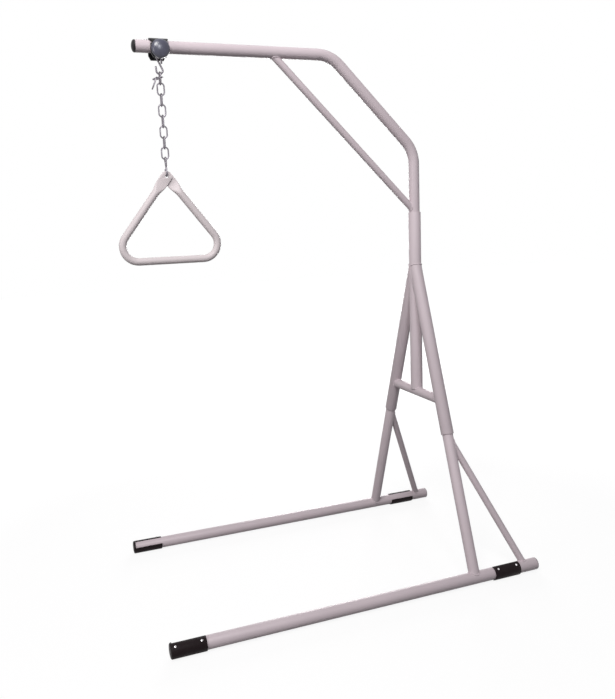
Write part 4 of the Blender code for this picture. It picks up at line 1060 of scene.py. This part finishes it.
def make_strap():
    """The bent steel strap over the boom, with tapered cheeks, notched bends and its holes."""
    left, right = HANG_X - STRAP_HALF, HANG_X + STRAP_HALF
    section = [((STRAP_BORE_R, -STRAP_DROP), (STRAP_BORE_R + STRAP_REAR_WALL, -STRAP_DROP))]
    for k, angle in enumerate(between(0, math.pi, STRAP_STEPS)):
        rear = 2 * k <= STRAP_STEPS
        bore, wall = (STRAP_BORE_R, STRAP_REAR_WALL) if rear else (CHEEK_IN, STRAP_FRONT_WALL)
        a, b = math.cos(angle), math.sin(angle)
        top = STRAP_BORE_R + STRAP_TOP_WALL
        section.append(((bore * a, STRAP_BORE_R * b), ((bore + wall) * a, top * b)))
    section.append(((-CHEEK_IN, -STRAP_DROP), (-CHEEK_OUT, -STRAP_DROP)))
    rings = []
    for (iy, iz), (oy, oz) in section:
        points = ((left, iy, iz), (left, oy, oz), (right, oy, oz), (right, iy, iz))
        rings.append([Vector((x, y, BOOM_Z + z)) for x, y, z in points])
    thing = solid("clamp_strap_look", rings)
    far = 2 * CHEEK_OUT
    bottom = BOOM_Z - STRAP_DROP
    cutters = []
    feet = (-1, STRAP_FOOT_LEFT, TAPER_LEFT), (1, STRAP_FOOT_RIGHT, TAPER_RIGHT)
    for sign, foot, taper in feet:
        slope = (STRAP_HALF - foot) / taper
        inner = HANG_X + sign * (foot - slope * FIT), bottom - FIT
        outer = HANG_X + sign * (STRAP_HALF + slope * FIT), bottom + taper + FIT
        cutters.append(prism([inner, outer, (outer[0], inner[1])], -far, far, "y"))
    for x in (left, right):
        start = Vector((x, -far, BOOM_Z + NOTCH_Z))
        cutters.append(rod(start, start + Y_AXIS * far, NOTCH_R, SMALL_SIDES))
    depth, reach = NUT_T + FIT, CHEEK_OUT + PIN_R
    pocket_r = (NUT_FLATS / 2 + FIT) / math.cos(math.radians(30))
    for z, start, end, radius, sides in (
        (STUD_Z, depth - CHEEK_OUT, -depth - CHEEK_OUT, pocket_r, 6),
        (STUD_Z, -SHOE_BACK, -CHEEK_OUT - NUT_T, STUD_R + SCREW_FIT, SMALL_SIDES),
        (PIN_Z, -reach, reach, PIN_R + FIT, SMALL_SIDES),
    ):
        cutters.append(rod(clamp_point(z, start), clamp_point(z, end), radius, sides, X_AXIS))
    cut(thing, *cutters)
    softened(thing, STRAP_EDGE, segments=3)
    dressed(thing, "black_steel", "clamp", "clamp_strap")


def make_nut():
    """The hexagon nut in the cheek's pocket, its corners chamfered."""
    bore = STUD_R + FIT
    first, second = frame_along(-Y_AXIS, X_AXIS)
    outer, inner = [], []
    for height, limit, hole in (
        (-NUT_T, NUT_BACK, bore + FIT),
        (NUT_BACK_EDGE - NUT_T, NUT_CORNER, bore),
        (-NUT_FACE_EDGE, NUT_CORNER, bore),
        (0, NUT_FACE, bore + FIT),
    ):
        centre = clamp_point(STUD_Z, -CHEEK_OUT - height)
        outline = []
        for angle in between(0, 2 * math.pi, TUBE_SIDES)[:-1]:
            off_flat = angle % math.radians(60) - math.radians(30)
            radius = min(1 / math.cos(off_flat), limit) * NUT_FLATS / 2
            outline.append((radius * math.cos(angle), radius * math.sin(angle)))
        outer.append(placed(outline, centre, first, second))
        inner.append(placed(circle(hole, TUBE_SIDES), centre, first, second))
    dressed(hollow("clamp_nut_look", outer, inner), "bright_steel", "clamp", "clamp_nut", sharp=25)


def make_pin():
    """The riveted cross pin that the S-hook hangs on."""
    rear = STRAP_BORE_R + STRAP_REAR_WALL + FIT
    front = -CHEEK_OUT - FIT
    head = dome(PIN_HEAD_R, PIN_RIM, PIN_HEAD, HEAD_STEPS, HEAD_ROUNDING)
    profile = [(radius, front - height) for radius, height in reversed(head)]
    profile += [(PIN_HEAD_R, front), (PIN_R, front), (PIN_R, rear), (PIN_HEAD_R, rear)]
    profile += [(radius, rear + height) for radius, height in head]
    thing = turned("clamp_pin_look", profile, clamp_point(PIN_Z), Y_AXIS, X_AXIS)
    dressed(thing, "bright_steel", "clamp", "clamp_pin")


def make_shoe():
    """The pressure shoe, hollowed to the boom's curve."""
    first, second = frame_along(-Y_AXIS, X_AXIS)
    rings = []
    for radius, y in ((SHOE_R, SHOE_FACE), (SHOE_R, SHOE_BACK - FIT), (SHOE_R - FIT, SHOE_BACK)):
        rings.append(placed(circle(radius, SMALL_SIDES), clamp_point(STUD_Z, -y), first, second))
    thing = solid("clamp_pad_look", rings)
    reach = X_AXIS * (STRAP_HALF + SHOE_R)
    boom = rod(clamp_point(BOOM_Z) - reach, clamp_point(BOOM_Z) + reach, MAIN_R + FIT)
    depth = TIP_DEPTH - SHOE_BACK
    start, end = clamp_point(STUD_Z, depth), clamp_point(STUD_Z, depth - SHOE_BACK)
    cut(thing, boom, rod(start, end, TIP_R + FIT, SMALL_SIDES, X_AXIS))
    dressed(thing, "zinc_steel", "press", "clamp_pad")


def make_stud():
    """The threaded stud between knob and shoe."""
    tip_end = SHOE_BACK - TIP_DEPTH + FIT
    shoulder = SHOE_BACK + FIT
    end = KNOB_BACK + KNOB_BORE_DEPTH - FIT
    steps = round((end - shoulder) / THREAD_PITCH * THREAD_STEPS)
    profile = [(0, tip_end), (TIP_R, tip_end), (TIP_R, shoulder)]
    profile += [(STUD_R, height) for height in between(shoulder, end, steps)] + [(0, end)]

    def thread(index, angle, radius):
        if index < 2:
            return radius
        turns = (profile[index + 1][1] - shoulder) / THREAD_PITCH - angle / (2 * math.pi)
        return radius - THREAD_DEPTH * abs(2 * (turns % 1) - 1)

    start = clamp_point(STUD_Z)
    thing = turned("clamp_screw_look", profile, start, -Y_AXIS, X_AXIS, SMALL_SIDES, thread)
    dressed(thing, "bright_steel", "knob", "clamp_screw", sharp=50)


def make_knob():
    """The domed hand knob, hollow behind, with a boss round the stud and a ribbed rim."""
    bore, cavity, floor = STUD_R + FIT, KNOB_R - KNOB_WALL, KNOB_RIM + KNOB_WALL
    profile = [(0, KNOB_BORE_DEPTH), (bore, KNOB_BORE_DEPTH), (bore, 0), (KNOB_BOSS_R, 0)]
    profile += [(KNOB_BOSS_R, floor), (cavity * KNOB_HOLLOW, floor)]
    profile += [(cavity, KNOB_RIM - KNOB_WALL), (cavity, 0), (KNOB_R - 2 * KNOB_RIB, 0)]
    rib_from = len(profile) - 1
    profile += [(KNOB_R - KNOB_RIB / 2, KNOB_RIB), (KNOB_R, 2 * KNOB_RIB)]
    profile += [(KNOB_R, KNOB_RIM - KNOB_RIB)]
    rib_to = len(profile) - 2
    profile += dome(KNOB_R, KNOB_RIM, KNOB_RIM + KNOB_DOME, KNOB_STEPS)

    def ribbed(index, angle, radius):
        if rib_from <= index <= rib_to:
            return radius - KNOB_RIB * (1 - math.cos(KNOB_RIBS * angle)) / 2
        return radius

    start = clamp_point(STUD_Z, -KNOB_BACK)
    thing = turned("clamp_knob_look", profile, start, -Y_AXIS, X_AXIS, 8 * KNOB_RIBS, ribbed)
    dressed(thing, "black_plastic", "knob", "clamp_knob")


# Chain, hooks and grip

def make_hook(node, body, z, across):
    """An S-hook of round wire whose top is at height z, its ends slightly rounded."""
    high = (0, -HOOK_TOP_R)
    low = (0, HOOK_LOW_R - HOOK_HEIGHT)
    lean = math.acos((HOOK_TOP_R + HOOK_LOW_R) / (high[1] - low[1]))
    flare_r = (HOOK_LOW_TIP ** 2 + HOOK_FLARE ** 2) / (2 * HOOK_FLARE)
    flare = math.asin(HOOK_LOW_TIP / flare_r)
    path = [((HOOK_TOP_R, high[1] - HOOK_TOP_TIP), (0, 1))]
    path += arc(high, HOOK_TOP_R, 0, 1.5 * math.pi - lean, HOOK_STEPS)
    path += arc(low, HOOK_LOW_R, 0.5 * math.pi - lean, -math.pi, HOOK_STEPS + 4)
    path += arc((-HOOK_LOW_R - flare_r, low[1]), flare_r, 0, flare, FLARE_STEPS)[1:]
    ends = []
    for ((a, b), (da, db)), way in ((path[0], -1), (path[-1], 1)):
        end = []
        for share, back in HOOK_ENDS:
            step = way * HOOK_WIRE_R * 0.5 * (1 - back)
            end.append((((a + da * step, b + db * step), (da, db)), HOOK_WIRE_R * share))
        ends.append(end)
    stations = ends[0] + [(station, HOOK_WIRE_R) for station in path] + ends[1][::-1]
    rings = wire_rings(*zip(*stations), clamp_point(z), across, Z_AXIS)
    dressed(solid(f"{node}_look", rings), "zinc_steel", body, node)


def make_link(node, body, middle, across, along):
    """One chain link of round wire with a faint butt weld on one side."""
    path = arc((0, LINK_HALF), LINK_END_R, 0, math.pi, LINK_STEPS)
    for b in between(LINK_HALF, -LINK_HALF, SIDE_STEPS)[1:-1]:
        path.append(((-LINK_END_R, b), (0, -1)))
    path += arc((0, -LINK_HALF), LINK_END_R, math.pi, 2 * math.pi, LINK_STEPS)
    radii = [LINK_WIRE_R] * len(path)
    for k in range(1, SIDE_STEPS):
        swell = math.exp(-((k - SIDE_STEPS / 2) / SEAM_SPREAD) ** 2)
        radii[LINK_STEPS + k] += LINK_SEAM * (swell - 0.5)
    rings = wire_rings(path, radii, middle, across, along)
    dressed(loop(f"{node}_look", rings), "zinc_steel", body, node)


def make_spare_link(number, at, along, level, roll):
    """A spare link at a place from the first link's middle, rolled about its own length."""
    across = level * math.cos(roll) + along.cross(level) * math.sin(roll)
    middle = clamp_point(FIRST_LINK_Z) + Vector(at)
    make_link(f"spare_link_{number}", f"spare_{number}", middle, across, along)


def make_chain():
    """Both S-hooks, the hanging links and the two spare ones."""
    make_hook("upper_s_hook", "upper_hook", UPPER_HOOK_TOP, X_AXIS)
    for number in range(HANGING_LINKS):
        middle = clamp_point(FIRST_LINK_Z - number * LINK_PITCH)
        across = Y_AXIS if number % 2 == 0 else X_AXIS
        make_link(f"chain_link_{number + 1}", f"link_{number + 1}", middle, across, Z_AXIS)
    make_hook("lower_s_hook", "lower_hook", LOWER_HOOK_TOP, -Y_AXIS)

    yaw, pitch = SPARE_1_YAW, SPARE_1_PITCH
    level = Vector((math.cos(yaw), -math.sin(yaw), 0))
    forward = Vector((-math.sin(yaw), -math.cos(yaw), 0))
    along = forward * math.cos(pitch) - Z_AXIS * math.sin(pitch)
    make_spare_link(1, SPARE_1_AT, along, level, SPARE_1_ROLL)
    lean, nod = SPARE_2_LEAN, SPARE_2_NOD
    down = Vector((0, -math.sin(nod), -math.cos(nod)))
    along = down * math.cos(lean) - X_AXIS * math.sin(lean)
    make_spare_link(2, SPARE_2_AT, along, along.cross(X_AXIS).normalized(), SPARE_2_ROLL)


def stadium(half_width, half_thick, sides):
    """A flattened circle: two half circles and two flats, as pairs."""
    flat = half_width - half_thick
    points = []
    for k in range(sides):
        angle = 2 * math.pi * (k + 0.5) / sides
        shift = flat if math.cos(angle) > 0 else -flat
        points.append((shift + half_thick * math.cos(angle), half_thick * math.sin(angle)))
    return points


def grip_side_angle():
    """The angle of the grip's slanting sides from plumb."""
    run = GRIP_WIDTH / 2 - GRIP_R - GRIP_CORNER_R
    rise = GRIP_DROP - GRIP_CORNER_R
    return math.atan2(run, rise) + math.asin(GRIP_CORNER_R / math.hypot(run, rise))


def grip_stations():
    """Half of the grip's centre line from lug to bar: points, directions and flatness."""
    angle = grip_side_angle()
    down = Vector((math.sin(angle), 0, -math.cos(angle)))
    centre = Vector((GRIP_WIDTH / 2 - GRIP_R - GRIP_CORNER_R, 0, GRIP_CORNER_R - GRIP_DROP))
    stations = [(down * -(LUG_TIP + LUG_HALF_T), down, 1.0)]
    for share in between(0, 1, LUG_STEPS):
        flatness = (1 + math.cos(math.pi * share)) / 2
        stations.append((down * (LUG_FLAT + LUG_TAPER * share), down, flatness))
    for turn in between(angle, -math.pi / 2, BEND_STEPS):
        spoke = Vector((math.cos(turn), 0, math.sin(turn)))
        way = Vector((math.sin(turn), 0, -math.cos(turn)))
        stations.append((centre + spoke * GRIP_CORNER_R, way, 0.0))
    return stations


def grip_rings(wall):
    """Rings of the grip's tube all round, shrunk by a wall, from the right lug to the left one."""
    right = grip_stations()
    left = []
    for point, way, flatness in reversed(right):
        left.append((Vector((-point.x, 0, point.z)), Vector((way.x, 0, -way.z)), flatness))
    rings = []
    for sign, stations in ((1, right), (-1, left)):
        for point, way, flatness in stations:
            half_t = GRIP_R + (LUG_HALF_T - GRIP_R) * flatness
            half_w = half_t + math.pi * (GRIP_R - half_t) / 2
            centre = clamp_point(LUG_Z, sign * LUG_Y * flatness) + point
            outline = stadium(half_w - wall, half_t - wall, GRIP_SIDES)
            rings.append(placed(outline, centre, way.cross(Y_AXIS), Y_AXIS))
    return rings


def lug_end(sign):
    """Rounds the end of one lug: everything past an ellipse about the hole."""
    angle = sign * grip_side_angle()
    up = Vector((-math.sin(angle), 0, math.cos(angle)))
    across = Vector((math.cos(angle), 0, math.sin(angle)))
    wide = LUG_HALF_W + LUG_TIP
    outline = [(wide, 0), (wide, wide), (-wide, wide), (-wide, 0)]
    for turn in between(math.pi, 0, LUG_END_STEPS):
        outline.append((LUG_TIP_HALF * math.cos(turn), LUG_TIP * math.sin(turn)))
    low, high = (FIT / 4, GRIP_R) if sign > 0 else (-GRIP_R, -FIT / 4)
    rings = [placed(outline, clamp_point(LUG_Z, y), across, up) for y in (low, high)]
    return solid("lug_end", rings)


def make_grip():
    """The hand grip: a bent tube whose ends are pressed flat, laid on each other and drilled."""
    thing = hollow("trapeze_handle_look", grip_rings(0), grip_rings(GRIP_WALL))
    ends = clamp_point(LUG_Z, -GRIP_D), clamp_point(LUG_Z, GRIP_D)
    hole = rod(*ends, LUG_HOLE_R, SMALL_SIDES, offset=0.5)
    cut(thing, lug_end(1), lug_end(-1), hole)
    softened(thing, LIP / 2, angle=60)
    dressed(thing, "grip_paint", "handle", "trapeze_handle")


# Stage

def is_seen(tree):
    """1 for rays of the camera, of mirrors and of glass, and 0 for others."""
    rays = add_node(tree, "ShaderNodeLightPath").outputs
    either = combined(tree, "MAXIMUM", rays["Is Camera Ray"], rays["Is Glossy Ray"])
    return combined(tree, "MAXIMUM", either, rays["Is Transmission Ray"])


def make_floor():
    """A plain floor that looks white and keeps the object's shadow."""
    bm = bmesh.new()
    bmesh.ops.create_grid(bm, x_segments=1, y_segments=1, size=FLOOR_HALF)
    floor = finished(bm, "floor")
    floor.location.z = -FLOOR_GAP
    material = bpy.data.materials.new("floor")
    material.use_nodes = True
    tree = material.node_tree
    shader = tree.nodes["Principled BSDF"].inputs
    shader["Base Color"].default_value = (*FLOOR_COLOUR, 1)
    shader["Roughness"].default_value = FLOOR_ROUGHNESS
    shader["Specular IOR Level"].default_value = FLOOR_GLOSS
    shader["Emission Color"].default_value = (1, 1, 1, 1)
    distance = add_node(tree, "ShaderNodeVectorMath", operation="LENGTH")
    tree.links.new(add_node(tree, "ShaderNodeTexCoord").outputs["Object"], distance.inputs[0])
    whiter = spread(tree, distance.outputs["Value"], FLOOR_GLOW, 1.0, *FLOOR_FADE)
    glow = combined(tree, "MULTIPLY", is_seen(tree), whiter)
    tree.links.new(glow, shader["Emission Strength"])
    floor.data.materials.append(material)


def make_world():
    """White to the eye, and a soft even dome of light."""
    world = bpy.data.worlds.new("studio")
    bpy.context.scene.world = world
    world.use_nodes = True
    tree = world.node_tree
    light = tree.nodes["Background"]
    light.inputs["Color"].default_value = (*SKY_COLOUR, 1)
    light.inputs["Strength"].default_value = SKY_STRENGTH
    white = add_node(tree, "ShaderNodeBackground", {"Color": (1, 1, 1, 1), "Strength": 1.0})
    mix = add_node(tree, "ShaderNodeMixShader")
    for place, output in enumerate((is_seen(tree), light.outputs[0], white.outputs[0])):
        tree.links.new(output, mix.inputs[place])
    tree.links.new(mix.outputs[0], tree.nodes["World Output"].inputs["Surface"])


def make_lights():
    """The square soft boxes: key, side, front, back and top."""
    for name, at, aim, size, power, colour in SOFT_BOXES:
        data = bpy.data.lights.new(name, "AREA")
        data.shape = "SQUARE"
        data.size = size
        data.energy = power
        data.color = colour
        lamp = added(name, data)
        lamp.location = at
        lamp.rotation_mode = "QUATERNION"
        lamp.rotation_quaternion = (Vector(at) - Vector(aim)).to_track_quat("Z", "Y")


def make_camera():
    """The photograph's view, from the fitted place, direction, roll and focal length."""
    data = bpy.data.cameras.new("camera")
    longest = max(PHOTO_PX)
    data.sensor_width = SENSOR_MM
    data.lens = FOCAL_PX * SENSOR_MM / longest
    data.shift_x = (PHOTO_PX[0] / 2 - CENTRE_PX[0]) / longest
    data.shift_y = (CENTRE_PX[1] - PHOTO_PX[1] / 2) / longest
    data.clip_end = CLIP_END
    camera = added("camera", data)
    matrix = Matrix.Translation(Vector(CAMERA_AT) + SHIFT)
    upright = math.radians(90) - CAMERA_DOWN
    for angle, axis in ((-CAMERA_AZIMUTH, "Z"), (upright, "X"), (CAMERA_ROLL, "Z")):
        matrix = matrix @ Matrix.Rotation(angle, 4, axis)
    camera.matrix_world = matrix
    bpy.context.scene.camera = camera


def make_object():
    """Every piece of the object."""
    make_boom_mast()
    make_boom_brace()
    make_end_cap()
    make_stop_screw()
    make_socket()
    make_cross_tube()
    make_button("mast", Z_AXIS * MAST_BUTTON_Z)
    for side, sign in NEAR_AND_FAR:
        make_leg(side, sign)
        make_front_boot(side, sign)
        make_rear_pad(side, sign)
        make_rivets(side, sign)
        make_rear_plug(side, sign)
        make_button(f"{side}_leg", leg_point(sign, LEG_BUTTON_Z))
    make_strap()
    make_nut()
    make_pin()
    make_shoe()
    make_stud()
    make_knob()
    make_chain()
    make_grip()
    for name in ("mast", "left_leg", "right_leg"):
        make_spring(name)


make_object()
make_floor()
make_world()
make_lights()
make_camera()
bpy.context.scene.view_settings.view_transform = "Standard"
